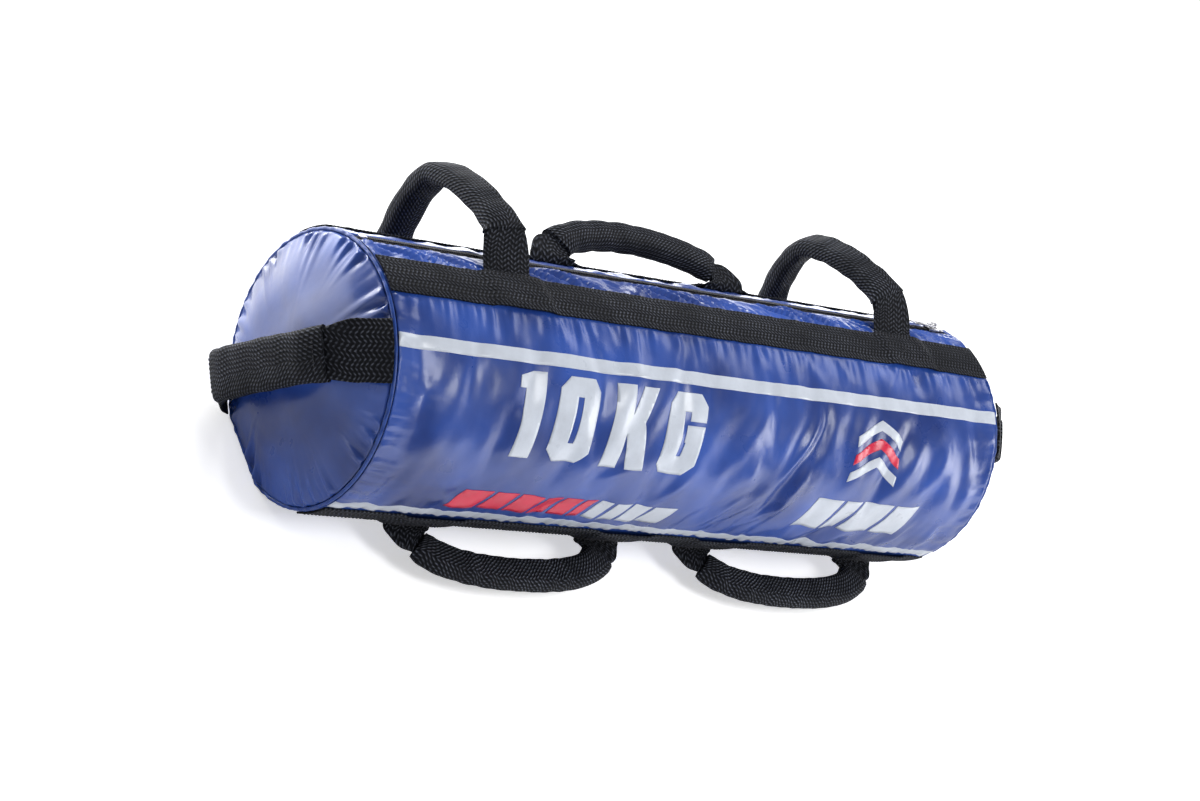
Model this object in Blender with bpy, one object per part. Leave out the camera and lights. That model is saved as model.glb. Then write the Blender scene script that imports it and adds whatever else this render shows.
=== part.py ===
# Sandbag trainer: a filled round bag with seven webbing handles, a zip and printed stripes.
# Metres, +Z up. The bag lies on a flat patch of its bare lower back, with its centre line along X.
import bpy
import bmesh
from math import acos, ceil, cos, degrees, pi, radians, sin, sqrt
from mathutils import Matrix, Vector

# Driving dimensions of the bag
BAG_LENGTH = 0.714
BAG_RADIUS = 0.115
CAP_BULGE = 0.022
FLAT_HALF_WIDTH = 0.035
CLEARANCE = 0.0003
ARC_STEP_DEGREES = 6.0
SHARP_ANGLE_DEGREES = 38.0

# Angles round the bag, in degrees: 0 is the printed front, 90 is the top handle, 180 the back
BAG_ROLL_DEGREES = 58.0
FLAT_ANGLE = -90.0 - BAG_ROLL_DEGREES
FRONT_STRIP_ANGLE = 34.4
TOP_STRIP_ANGLE = 90.0
REAR_STRIP_ANGLE = 2.0 * TOP_STRIP_ANGLE - FRONT_STRIP_ANGLE
BOTTOM_STRIP_ANGLE = -90.0
ZIP_ANGLE = 61.0
UPPER_STRIPE_ANGLE = 4.7

# Shell
PANEL_THICKNESS = 0.0015
PIPING_DIAMETER = 0.003
PIPING_SIDES = 6
CAP_RING_SHARES = (0.14, 0.42, 0.68, 0.87, 1.0)

# Webbing strips and printed stripes
STRIP_WIDTH = 0.038
STRIP_THICKNESS = 0.0018
STRIPE_WIDTH = 0.0115
STRIPE_THICKNESS = 0.0004
LOWER_STRIPE_GAP = 0.00335

# Handle webbing: the feet are sewn down under a strip, and the strip rises over them
WEB_WIDTH = 0.049
FOOT_THICKNESS = 0.002
FOOT_TUCK = 0.013
FOOT_MARGIN = 0.0012
FOOT_ARC_STEPS = 3
STRIP_RAMP = 0.010

# Grips
SECTION_POINTS = 10
SECTION_ROUNDING = 0.62
GRIP_THICKNESS = 0.016
CORE_THICKNESS = 0.0065
CORE_INSET = 0.0045

# Arched handles, from the front strip over the top to the rear strip
ARCH_LEFT_X = -0.216
ARCH_RIGHT_X = 0.251
ARCH_LEFT_LEAN_DEGREES = -7.0
ARCH_RIGHT_LEAN_DEGREES = -20.0
ARCH_SPAN_SHARE = 0.687
ARCH_GRIP_STANDOFF = 0.004
ARCH_GRIP_RISE = 0.062
ARCH_GRIP_WIDTH = 0.031
ARCH_NECK_HALF_WIDTH = 0.0135
ARCH_SHOULDER_DROP = 0.010
ARCH_NECK_DROP = 0.0065
ARCH_CURVE_STEPS = 7
ARCH_SIDE_CONTROL_SHARE = 0.08
ARCH_CROWN_SPAN_SHARE = 0.52
ARCH_CROWN_RISE_SHARE = 0.90
NECK_ROUND_ANGLES = (0.0, 32.0, 60.0, 82.0)

# Flat looped handles along the bottom strip and the top strip
LOWER_LEFT_X = -0.135
LOWER_RIGHT_X = 0.192
TOP_HANDLE_X = -0.013
LOOP_GRIP_WIDTH = 0.028
LOOP_HINGE_RISE = 0.007
LOOP_HINGE_OFFSET = 0.0018
LOOP_FOOT_END_GAP = 0.0004
LOOP_ROUND_ANGLES = (75.0, 40.0, 0.0)
LOOP_LEG_THICKNESS = 0.004
LOOP_FOOT_SHARE = 0.62
LOWER_HALF_SPAN = 0.130
LOWER_REACH = 0.0545
LOWER_LEAN_DEGREES = 40.0
LOWER_CROWN_SPAN_SHARE = 0.62
TOP_HALF_SPAN = 0.127
TOP_REACH = 0.0505
TOP_LEAN_DEGREES = 42.0
TOP_CROWN_SPAN_SHARE = 0.42
LOOP_SIDE_SPAN_SHARE = 0.81
LOOP_SIDE_REACH_SHARE = 0.52
LOOP_CURVE_STEPS = 11
LOOP_LEG_STEPS = 3

# End handles, across each end cap
END_GRIP_HALF_SPAN = 0.074
END_LEFT_GRIP_RISE = 0.0465
END_RIGHT_GRIP_RISE = 0.0555
END_CROWN_RISE = 0.010
END_GRIP_WIDTH = 0.040
END_GRIP_STEPS = 6
END_HINGE_RISE = 0.028
END_DROOP_DEGREES = 7.0
END_FOOT_RISE = 0.0018
END_FOOT_STEPS = 4
END_SPLIT_GAP = 0.0005
END_SIDE_SPAN_SHARE = 0.80
END_SIDE_RISE_SHARE = 0.80
END_CROWN_SPAN_SHARE = 0.45
END_FOOT_SPAN_SHARES = (0.75, 0.40)
END_FOOT_RISE_SHARES = (0.30, 0.72)

# Zip
ZIP_TAPE_WIDTH = 0.012
ZIP_TAPE_THICKNESS = 0.0006
ZIP_SLIT_HALF_WIDTH = 0.0056
ZIP_COIL_WIDTH = 0.0028
ZIP_COIL_HALF_GAP = 0.0002
ZIP_COIL_PROUD = 0.001
ZIP_END_MARGIN = 0.012
ZIP_STOP_LENGTH = 0.006
SLIDER_LENGTH = 0.014
SLIDER_HALF_WIDTH = 0.005
SLIDER_PLATE = 0.0015
SLIDER_FLANGE_DEPTH = 0.0014
SLIDER_PARK_GAP = 0.002
CROWN_LENGTH = 0.010
CROWN_WIDTH = 0.003
CROWN_WALL = 0.0014
CROWN_HOLE_HEIGHT = 0.0028
PULL_LENGTH = 0.026
PULL_WIDTH = 0.0085
PULL_THICKNESS = 0.0014
PULL_EYE_LENGTH = 0.0072
PULL_EYE_WIDTH = 0.0044
PULL_BAR = 0.0014

# Filling
SAND_BAG_RADIUS = 0.058
SAND_BAG_SIDES = 24
SAND_END_SHARES = ((0.55, 0.0), (0.86, 0.16), (1.0, 0.62))
CLOSURE_LENGTH = 0.022
CLOSURE_WIDTH = 0.090
CLOSURE_THICKNESS = 0.014
CLOSURE_HEAD_ROOM = 0.0372
END_PAD_THICKNESS = 0.020

COLOURS = {
    "coated_fabric": ((0.030, 0.075, 0.380), 0.28, 0.0),
    "webbing": ((0.012, 0.012, 0.015), 0.85, 0.0),
    "grip_webbing": ((0.020, 0.021, 0.026), 0.80, 0.0),
    "print_white": ((0.85, 0.86, 0.90), 0.45, 0.0),
    "piping": ((0.08, 0.13, 0.45), 0.40, 0.0),
    "zip_tape": ((0.015, 0.015, 0.020), 0.80, 0.0),
    "zip_coil": ((0.025, 0.025, 0.030), 0.45, 0.0),
    "zip_metal": ((0.30, 0.30, 0.32), 0.35, 1.0),
    "padding": ((0.35, 0.36, 0.38), 0.95, 0.0),
    "liner": ((0.20, 0.17, 0.12), 0.70, 0.0),
}

HALF_LENGTH = BAG_LENGTH / 2
SHELL_HALF_LENGTH = HALF_LENGTH - PIPING_DIAMETER - CLEARANCE
AXIS_HEIGHT = sqrt(BAG_RADIUS ** 2 - FLAT_HALF_WIDTH ** 2)
FLAT_HALF_ANGLE = degrees(acos(AXIS_HEIGHT / BAG_RADIUS))
FOOT_LIFT = FOOT_THICKNESS + CLEARANCE
ZIP_STACK = PANEL_THICKNESS + ZIP_TAPE_THICKNESS + 2 * CLEARANCE
COIL_HALF_LENGTH = SHELL_HALF_LENGTH - ZIP_END_MARGIN
LOWER_STRIPE_OFFSET = STRIP_WIDTH / 2 + LOWER_STRIPE_GAP + STRIPE_WIDTH / 2
LOWER_STRIPE_ANGLE = BOTTOM_STRIP_ANGLE + degrees(LOWER_STRIPE_OFFSET / BAG_RADIUS)
ARCH_HALF_SPAN = BAG_RADIUS * ARCH_SPAN_SHARE
ARCH_GRIP_START = BAG_RADIUS + ARCH_GRIP_STANDOFF
X_AXIS = Vector((1, 0, 0))


def clear_scene():
    for obj in list(bpy.data.objects):
        bpy.data.objects.remove(obj, do_unlink=True)


def make_materials():
    made = {}
    for name, (colour, roughness, metallic) in COLOURS.items():
        material = bpy.data.materials.new(name)
        material.use_nodes = True
        shader = material.node_tree.nodes["Principled BSDF"]
        shader.inputs["Base Color"].default_value = (*colour, 1)
        shader.inputs["Roughness"].default_value = roughness
        shader.inputs["Metallic"].default_value = metallic
        material.diffuse_color = (*colour, 1)
        made[name] = material
    return made


def add_empty(name, location, parent=None):
    empty = bpy.data.objects.new(name, None)
    bpy.context.scene.collection.objects.link(empty)
    empty.location = location
    empty.parent = parent
    return empty


def flat_angle_offset(angle):
    # How far an angle is from the middle of the flat patch, in degrees
    return (angle - FLAT_ANGLE + 180) % 360 - 180


def shell_radius(angle, inset):
    # Distance from the centre line to a layer that lies this deep in the bag
    offset = flat_angle_offset(angle)
    round_radius = BAG_RADIUS - inset
    if abs(offset) >= FLAT_HALF_ANGLE:
        return round_radius
    return min(round_radius, (AXIS_HEIGHT - inset) / cos(radians(offset)))


def arc_angles(start, end):
    # Even steps from start to end, with the two corners of the flat patch added
    count = max(1, ceil(abs(end - start) / ARC_STEP_DEGREES))
    angles = [start + (end - start) * i / count for i in range(count + 1)]
    for turn in (-360, 0, 360):
        for side in (-1, 1):
            corner = FLAT_ANGLE + side * FLAT_HALF_ANGLE + turn
            if start < corner < end:
                angles.append(corner)
    return sorted(angles)


def full_circle():
    return arc_angles(FLAT_ANGLE - 180, FLAT_ANGLE + 180)[:-1]


def angle_for(width):
    return degrees(width / BAG_RADIUS)


def bag_point(x, angle, radius):
    return Vector((x, -radius * cos(radians(angle)), radius * sin(radians(angle))))


def outward(angle):
    return bag_point(0, angle, 1)


def skin(name, rings, material, parent, pivot=Vector((0, 0, 0)), wrap=False, smooth=True):
    # A closed body through rings of equal count, ended by flat faces or joined back to the first ring
    bm = bmesh.new()
    rows = [[bm.verts.new(point - pivot) for point in ring] for ring in rings]
    following = rows[1:] + rows[:1] if wrap else rows[1:]
    for near, far in zip(rows, following):
        for i, vertex in enumerate(near):
            j = (i + 1) % len(near)
            bm.faces.new((vertex, near[j], far[j], far[i]))
    if not wrap:
        bm.faces.new(rows[0])
        bm.faces.new(rows[-1])
    bmesh.ops.recalc_face_normals(bm, faces=bm.faces)
    mesh = bpy.data.meshes.new(name)
    bm.to_mesh(mesh)
    bm.free()
    mesh.materials.append(material)
    if smooth:
        mesh.shade_smooth()
        mesh.set_sharp_from_angle(angle=radians(SHARP_ANGLE_DEGREES))
    obj = bpy.data.objects.new(name, mesh)
    bpy.context.scene.collection.objects.link(obj)
    obj.parent = parent
    return obj


def rectangle(centre, across, through, width, thickness):
    corners = ((-0.5, -0.5), (0.5, -0.5), (0.5, 0.5), (-0.5, 0.5))
    return [centre + across * (width * a) + through * (thickness * b) for a, b in corners]


def rounded(centre, across, through, width, thickness):
    ring = []
    for i in range(SECTION_POINTS):
        turn = 2 * pi * (i + 0.5) / SECTION_POINTS
        a = abs(cos(turn)) ** SECTION_ROUNDING * (1 if cos(turn) > 0 else -1)
        b = abs(sin(turn)) ** SECTION_ROUNDING * (1 if sin(turn) > 0 else -1)
        ring.append(centre + across * (width * a / 2) + through * (thickness * b / 2))
    return ring


def bezier(points, steps):
    p0, p1, p2, p3 = points
    curve = []
    for i in range(steps + 1):
        t = i / steps
        u = 1 - t
        curve.append(tuple(
            u ** 3 * a + 3 * u * u * t * b + 3 * u * t * t * c + t ** 3 * d
            for a, b, c, d in zip(p0, p1, p2, p3)))
    return curve


def curved_block(name, material, parent, stations, angles, outer_inset, inner_inset):
    # A band bent round the bag: stations are pairs of x and how far the band is lifted there
    rings = []
    for x, lift in stations:
        outer = [bag_point(x, a, shell_radius(a, outer_inset - lift)) for a in angles]
        inner = [bag_point(x, a, shell_radius(a, inner_inset - lift)) for a in angles]
        rings.append(outer + inner[::-1])
    return skin(name, rings, material, parent)


def full_length():
    return [(-SHELL_HALF_LENGTH, 0), (SHELL_HALF_LENGTH, 0)]


def make_panels(paint, bag):
    slit = angle_for(ZIP_SLIT_HALF_WIDTH)
    half_gap = angle_for(CLEARANCE)
    edges = {
        "front_panel": (BOTTOM_STRIP_ANGLE, FRONT_STRIP_ANGLE),
        "upper_front_panel": (FRONT_STRIP_ANGLE, ZIP_ANGLE - slit),
        "top_panel": (ZIP_ANGLE + slit, REAR_STRIP_ANGLE),
        "rear_panel": (REAR_STRIP_ANGLE, BOTTOM_STRIP_ANGLE + 360),
    }
    for name, (start, end) in edges.items():
        angles = arc_angles(start + half_gap, end - half_gap)
        curved_block(name, paint["coated_fabric"], bag, full_length(), angles, 0, PANEL_THICKNESS)


def cap_rim_inset():
    return PIPING_DIAMETER + CLEARANCE


def cap_bulge(share):
    return CAP_BULGE * (1 - share ** 2)


def cap_ring(side, share, rise):
    x = side * (HALF_LENGTH + rise)
    return [bag_point(x, a, share * shell_radius(a, cap_rim_inset())) for a in full_circle()]


def make_ends(paint, bag):
    for side, word in ((-1, "left"), (1, "right")):
        outer = [cap_ring(side, s, cap_bulge(s)) for s in CAP_RING_SHARES]
        inner = [cap_ring(side, s, cap_bulge(s) - PANEL_THICKNESS) for s in CAP_RING_SHARES]
        skin("end_cap_" + word, outer + inner[::-1], paint["coated_fabric"], bag)

        lining = PANEL_THICKNESS + CLEARANCE
        crown = [cap_ring(side, s, cap_bulge(s) - lining) for s in CAP_RING_SHARES]
        base = [cap_ring(side, 1.0, -lining - END_PAD_THICKNESS)]
        skin("end_pad_" + word, crown + base, paint["padding"], bag)

        radius = PIPING_DIAMETER / 2
        rings = []
        for a in full_circle():
            centre = bag_point(side * (HALF_LENGTH - radius), a, shell_radius(a, radius))
            ring = []
            for i in range(PIPING_SIDES):
                turn = 2 * pi * i / PIPING_SIDES
                ring.append(centre + X_AXIS * (radius * cos(turn)) + outward(a) * (radius * sin(turn)))
            rings.append(ring)
        skin("rim_piping_" + word, rings, paint["piping"], bag, wrap=True)


def foot_spans():
    # Where handle feet pass under each strip, as the lowest and highest x of each foot
    half_web = WEB_WIDTH / 2
    arches = [(x - half_web, x + half_web) for x in (ARCH_LEFT_X, ARCH_RIGHT_X)]

    def loop_feet(centre, half_span):
        near = half_span * LOOP_FOOT_SHARE
        return [(centre - half_span, centre - near), (centre + near, centre + half_span)]

    lower = loop_feet(LOWER_LEFT_X, LOWER_HALF_SPAN) + loop_feet(LOWER_RIGHT_X, LOWER_HALF_SPAN)
    return {
        "front": arches,
        "rear": arches,
        "top": loop_feet(TOP_HANDLE_X, TOP_HALF_SPAN),
        "bottom": lower,
    }


def strip_stations(spans):
    stations = [(-SHELL_HALF_LENGTH, 0)]
    for low, high in sorted(spans):
        stations += [
            (low - FOOT_MARGIN - STRIP_RAMP, 0),
            (low - FOOT_MARGIN, FOOT_LIFT),
            (high + FOOT_MARGIN, FOOT_LIFT),
            (high + FOOT_MARGIN + STRIP_RAMP, 0),
        ]
    return stations + [(SHELL_HALF_LENGTH, 0)]


STRIP_ANGLES = {
    "front": FRONT_STRIP_ANGLE,
    "top": TOP_STRIP_ANGLE,
    "rear": REAR_STRIP_ANGLE,
    "bottom": BOTTOM_STRIP_ANGLE,
}


def make_strips(paint, bag):
    half = angle_for(STRIP_WIDTH) / 2
    spans = foot_spans()
    for word, middle in STRIP_ANGLES.items():
        angles = arc_angles(middle - half, middle + half)
        curved_block("web_strip_" + word, paint["webbing"], bag, strip_stations(spans[word]),
                     angles, -CLEARANCE - STRIP_THICKNESS, -CLEARANCE)


def make_stripes(paint, bag):
    half = angle_for(STRIPE_WIDTH) / 2
    places = {"printed_stripe_upper": UPPER_STRIPE_ANGLE, "printed_stripe_lower": LOWER_STRIPE_ANGLE}
    for name, middle in places.items():
        angles = arc_angles(middle - half, middle + half)
        curved_block(name, paint["print_white"], bag, full_length(), angles,
                     -CLEARANCE - STRIPE_THICKNESS, -CLEARANCE)


def in_plane_normals(path):
    # Unit normals of a path of two-number points, each turned a quarter from the path's direction
    normals = []
    for i in range(len(path)):
        before = path[max(0, i - 1)]
        after = path[min(len(path) - 1, i + 1)]
        step = Vector((after[0] - before[0], after[1] - before[1])).normalized()
        normals.append((step[1], -step[0]))
    return normals


def leaned(rings, pivot, lean):
    # Rings turned about the line through the pivot that points forwards
    turn = Matrix.Translation(pivot) @ Matrix.Rotation(radians(lean), 4, "Y") @ Matrix.Translation(-pivot)
    return [[turn @ point for point in ring] for ring in rings]


def bag_vector(forward, up, x=0):
    # A point given by how far it is in front of and above the centre line
    return Vector((x, -forward, up))


def make_arch_foot(name, x, side, paint, bag, pivot_height):
    # The foot lies under its strip, turns up and ends in a round neck about the hinge line
    edge = FRONT_STRIP_ANGLE + angle_for(STRIP_WIDTH) / 2
    layer = BAG_RADIUS + CLEARANCE + FOOT_THICKNESS / 2
    turn_up = degrees(acos(ARCH_HALF_SPAN / layer))
    start = edge - angle_for(FOOT_TUCK)
    path = []
    for i in range(FOOT_ARC_STEPS + 1):
        a = radians(start + (turn_up - start) * i / FOOT_ARC_STEPS)
        path.append((layer * cos(a), layer * sin(a), WEB_WIDTH))
    path.append((ARCH_HALF_SPAN, pivot_height - ARCH_SHOULDER_DROP, WEB_WIDTH))
    path.append((ARCH_HALF_SPAN, pivot_height - ARCH_NECK_DROP, 2 * ARCH_NECK_HALF_WIDTH))
    for turn in NECK_ROUND_ANGLES:
        reach = ARCH_NECK_HALF_WIDTH * sin(radians(turn))
        path.append((ARCH_HALF_SPAN, pivot_height + reach, 2 * ARCH_NECK_HALF_WIDTH * cos(radians(turn))))
    normals = in_plane_normals([point[:2] for point in path])
    rings = []
    for (forward, up, width), (n_forward, n_up) in zip(path, normals):
        through = bag_vector(side * n_forward, n_up)
        rings.append(rectangle(bag_vector(side * forward, up, x), X_AXIS, through, width, FOOT_THICKNESS))
    return skin(name, rings, paint["webbing"], bag)


def make_arch(word, x, lean, paint, bag):
    pivot_height = ARCH_GRIP_START - CLEARANCE - ARCH_NECK_HALF_WIDTH
    pivot = Vector((x, 0, pivot_height))
    hinge = add_empty("arch_" + word + "_hinge", pivot, bag)
    name = "arch_handle_" + word
    make_arch_foot(name + "_front_foot", x, 1, paint, bag, pivot_height)
    make_arch_foot(name + "_rear_foot", x, -1, paint, bag, pivot_height)

    half = bezier((
        (ARCH_HALF_SPAN, ARCH_GRIP_START),
        (ARCH_HALF_SPAN, ARCH_GRIP_START + ARCH_GRIP_RISE * ARCH_SIDE_CONTROL_SHARE),
        (ARCH_HALF_SPAN * ARCH_CROWN_SPAN_SHARE, ARCH_GRIP_START + ARCH_GRIP_RISE * ARCH_CROWN_RISE_SHARE),
        (0, ARCH_GRIP_START + ARCH_GRIP_RISE),
    ), ARCH_CURVE_STEPS)
    path = half + [(-forward, up) for forward, up in half[-2::-1]]
    normals = in_plane_normals(path)
    normals[0] = (1, 0)
    normals[-1] = (-1, 0)
    core_width = ARCH_GRIP_WIDTH - 2 * CORE_INSET
    outer, bore, core = [], [], []
    for (forward, up), (n_forward, n_up) in zip(path, normals):
        centre = bag_vector(forward, up, x)
        through = bag_vector(n_forward, n_up)
        outer.append(rounded(centre, X_AXIS, through, ARCH_GRIP_WIDTH, GRIP_THICKNESS))
        bore.append(rounded(centre, X_AXIS, through, core_width + 2 * CLEARANCE,
                            CORE_THICKNESS + 2 * CLEARANCE))
        core.append(rounded(centre, X_AXIS, through, core_width, CORE_THICKNESS))
    grip = leaned(outer + bore[::-1], pivot, lean)
    skin(name + "_grip", grip, paint["grip_webbing"], hinge, pivot, wrap=True)
    skin(name + "_strap", leaned(core, pivot, lean), paint["webbing"], hinge, pivot)


def loop_outline(half_span, reach, crown_share):
    # Outer edge, inner edge and thickness of a flat looped handle, from one foot to its middle
    round_radius = LOOP_LEG_THICKNESS / 2
    foot_width = half_span * (1 - LOOP_FOOT_SHARE)
    crown_reach = reach - LOOP_GRIP_WIDTH / 2
    path = bezier((
        (half_span - foot_width / 2, 0),
        (half_span * LOOP_SIDE_SPAN_SHARE, crown_reach * LOOP_SIDE_REACH_SHARE),
        (half_span * crown_share, crown_reach),
        (0, crown_reach),
    ), LOOP_CURVE_STEPS)
    normals = in_plane_normals(path)
    normals[-1] = (0, 1)
    legs, grip = [], []
    for turn in LOOP_ROUND_ANGLES:
        drop = -round_radius * sin(radians(turn))
        thickness = LOOP_LEG_THICKNESS * cos(radians(turn))
        legs.append(((half_span, drop), (half_span * LOOP_FOOT_SHARE, drop), thickness))
    for i, ((span, rise), (n_span, n_rise)) in enumerate(zip(path, normals)):
        share = min(i / LOOP_LEG_STEPS, 1)
        half_width = (foot_width + (LOOP_GRIP_WIDTH - foot_width) * share) / 2
        outer = (span + n_span * half_width, rise + n_rise * half_width)
        inner = (span - n_span * half_width, rise - n_rise * half_width)
        if 0 < i < LOOP_LEG_STEPS:
            legs.append((outer, inner, LOOP_LEG_THICKNESS))
        elif i >= LOOP_LEG_STEPS:
            grip.append((outer, inner, GRIP_THICKNESS))
    return legs, grip


def mirrored(rows):
    return [((-a, b), (-c, d), thickness) for (a, b), (c, d), thickness in rows[::-1]]


def make_loop_foot(name, low, high, edge_angle, paint, bag):
    # The foot lies under its strip and turns outwards just past the strip's edge
    layer = BAG_RADIUS + CLEARANCE + FOOT_THICKNESS / 2
    turn_out = edge_angle - angle_for(LOOP_HINGE_OFFSET)
    start = edge_angle + angle_for(FOOT_TUCK)
    top = BAG_RADIUS + LOOP_HINGE_RISE - LOOP_LEG_THICKNESS / 2 - LOOP_FOOT_END_GAP
    path = []
    for i in range(FOOT_ARC_STEPS + 1):
        a = start + (turn_out - start) * i / FOOT_ARC_STEPS
        path.append((a, layer))
    path.append((turn_out, top))
    points = [(radius * cos(radians(a)), radius * sin(radians(a))) for a, radius in path]
    normals = in_plane_normals(points)
    rings = []
    for (forward, up), (n_forward, n_up) in zip(points, normals):
        centre = bag_vector(forward, up, (low + high) / 2)
        rings.append(rectangle(centre, X_AXIS, bag_vector(n_forward, n_up), high - low, FOOT_THICKNESS))
    return skin(name, rings, paint["webbing"], bag)


def make_loop(name, x, half_span, reach, crown_share, strip, lean, paint, bag):
    edge_angle = STRIP_ANGLES[strip] - angle_for(STRIP_WIDTH) / 2
    near = half_span * LOOP_FOOT_SHARE
    make_loop_foot(name + "_left_foot", x - half_span, x - near, edge_angle, paint, bag)
    make_loop_foot(name + "_right_foot", x + near, x + half_span, edge_angle, paint, bag)

    hinge_angle = edge_angle - angle_for(LOOP_HINGE_OFFSET)
    pivot = bag_point(x, hinge_angle, BAG_RADIUS + LOOP_HINGE_RISE)
    hinge = add_empty(name + "_hinge", pivot, bag)
    along = outward(hinge_angle + lean)
    through = X_AXIS.cross(along)

    def sections(rows, inset=0, thickness=None):
        rings = []
        for outer_edge, inner_edge, row_thickness in rows:
            out, inn = (pivot + X_AXIS * a + along * b for a, b in (outer_edge, inner_edge))
            across = (out - inn).normalized()
            width = (out - inn).length - 2 * inset
            rings.append(rounded((out + inn) / 2, across, through, width, thickness or row_thickness))
        return rings

    legs, grip = loop_outline(half_span, reach, crown_share)
    grip_rows = grip + mirrored(grip[:-1])
    outer = sections(grip_rows)
    bore = sections(grip_rows, CORE_INSET - CLEARANCE, CORE_THICKNESS + 2 * CLEARANCE)
    core = sections(grip_rows, CORE_INSET, CORE_THICKNESS)
    skin(name + "_grip", outer + bore[::-1], paint["grip_webbing"], hinge, pivot, wrap=True)
    strap = sections(legs) + core + sections(mirrored(legs))
    skin(name + "_strap", strap, paint["webbing"], hinge, pivot)


def end_vector(side, forward, rise, up=0):
    return Vector((side * (HALF_LENGTH + rise), -forward, up))


def make_end_handle(side, word, grip_rise, paint, bag):
    name = "end_handle_" + word
    pivot = end_vector(side, 0, END_HINGE_RISE)
    hinge = add_empty(name + "_hinge", pivot, bag)
    up = Vector((0, 0, 1))

    rim = BAG_RADIUS - PIPING_DIAMETER
    span = rim - END_GRIP_HALF_SPAN - END_SPLIT_GAP
    start_rise = grip_rise - END_CROWN_RISE
    climb = start_rise - END_FOOT_RISE
    foot_path = bezier((
        (rim, END_FOOT_RISE),
        (rim - span * (1 - END_FOOT_SPAN_SHARES[0]), END_FOOT_RISE + climb * END_FOOT_RISE_SHARES[0]),
        (rim - span * (1 - END_FOOT_SPAN_SHARES[1]), END_FOOT_RISE + climb * END_FOOT_RISE_SHARES[1]),
        (rim - span, start_rise),
    ), END_FOOT_STEPS)
    for face, place in ((1, "_front_foot"), (-1, "_rear_foot")):
        normals = in_plane_normals(foot_path)
        normals[-1] = (0, 1)
        rings = []
        for (forward, rise), (n_forward, n_rise) in zip(foot_path, normals):
            through = Vector((side * n_rise, -face * n_forward, 0))
            rings.append(rectangle(end_vector(side, face * forward, rise), up, through,
                                   WEB_WIDTH, FOOT_THICKNESS))
        skin(name + place, rings, paint["webbing"], bag)

    half = bezier((
        (END_GRIP_HALF_SPAN, start_rise),
        (END_GRIP_HALF_SPAN * END_SIDE_SPAN_SHARE, start_rise + END_CROWN_RISE * END_SIDE_RISE_SHARE),
        (END_GRIP_HALF_SPAN * END_CROWN_SPAN_SHARE, grip_rise),
        (0, grip_rise),
    ), END_GRIP_STEPS)
    path = half + [(-forward, rise) for forward, rise in half[-2::-1]]
    normals = in_plane_normals(path)
    normals[0] = (0, 1)
    normals[-1] = (0, 1)
    core_width = END_GRIP_WIDTH - 2 * CORE_INSET
    outer, bore, core = [], [], []
    for (forward, rise), (n_forward, n_rise) in zip(path, normals):
        centre = end_vector(side, forward, rise)
        sign = 1 if n_rise > 0 else -1
        through = Vector((side * sign * n_rise, -sign * n_forward, 0))
        outer.append(rounded(centre, up, through, END_GRIP_WIDTH, GRIP_THICKNESS))
        bore.append(rounded(centre, up, through, core_width + 2 * CLEARANCE,
                            CORE_THICKNESS + 2 * CLEARANCE))
        core.append(rounded(centre, up, through, core_width, CORE_THICKNESS))
    grip = leaned(outer + bore[::-1], pivot, side * END_DROOP_DEGREES)
    skin(name + "_grip", grip, paint["grip_webbing"], hinge, pivot, wrap=True)
    skin(name + "_strap", leaned(core, pivot, side * END_DROOP_DEGREES), paint["webbing"], hinge, pivot)


def make_zip_track(paint, bag):
    tape = angle_for(ZIP_TAPE_WIDTH)
    near = angle_for(ZIP_COIL_HALF_GAP)
    coil = angle_for(ZIP_COIL_HALF_GAP + ZIP_COIL_WIDTH)
    tape_top = PANEL_THICKNESS + CLEARANCE
    coil_run = [(-COIL_HALF_LENGTH, 0), (COIL_HALF_LENGTH, 0)]
    for word, side in (("front", -1), ("rear", 1)):
        tape_angles = sorted((ZIP_ANGLE + side * near, ZIP_ANGLE + side * tape))
        curved_block("zip_tape_" + word, paint["zip_tape"], bag, full_length(),
                     arc_angles(*tape_angles), tape_top, tape_top + ZIP_TAPE_THICKNESS)
        coil_angles = sorted((ZIP_ANGLE + side * near, ZIP_ANGLE + side * coil))
        curved_block("zip_coil_" + word, paint["zip_coil"], bag, coil_run,
                     arc_angles(*coil_angles), -ZIP_COIL_PROUD, tape_top - CLEARANCE)
    for word, side in (("left", -1), ("right", 1)):
        near_x = side * (COIL_HALF_LENGTH + CLEARANCE)
        far_x = side * (COIL_HALF_LENGTH + CLEARANCE + ZIP_STOP_LENGTH)
        stations = [(x, 0) for x in sorted((near_x, far_x))]
        curved_block("zip_stop_" + word, paint["zip_metal"], bag, stations,
                     arc_angles(ZIP_ANGLE - coil, ZIP_ANGLE + coil), -ZIP_COIL_PROUD,
                     tape_top - CLEARANCE)


def zip_point(x, across, height):
    # A point over the zip: across is towards the top strip, height is above the panels
    tangent = X_AXIS.cross(outward(ZIP_ANGLE)) * -1
    return bag_point(x, ZIP_ANGLE, BAG_RADIUS + height) + tangent * across


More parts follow.
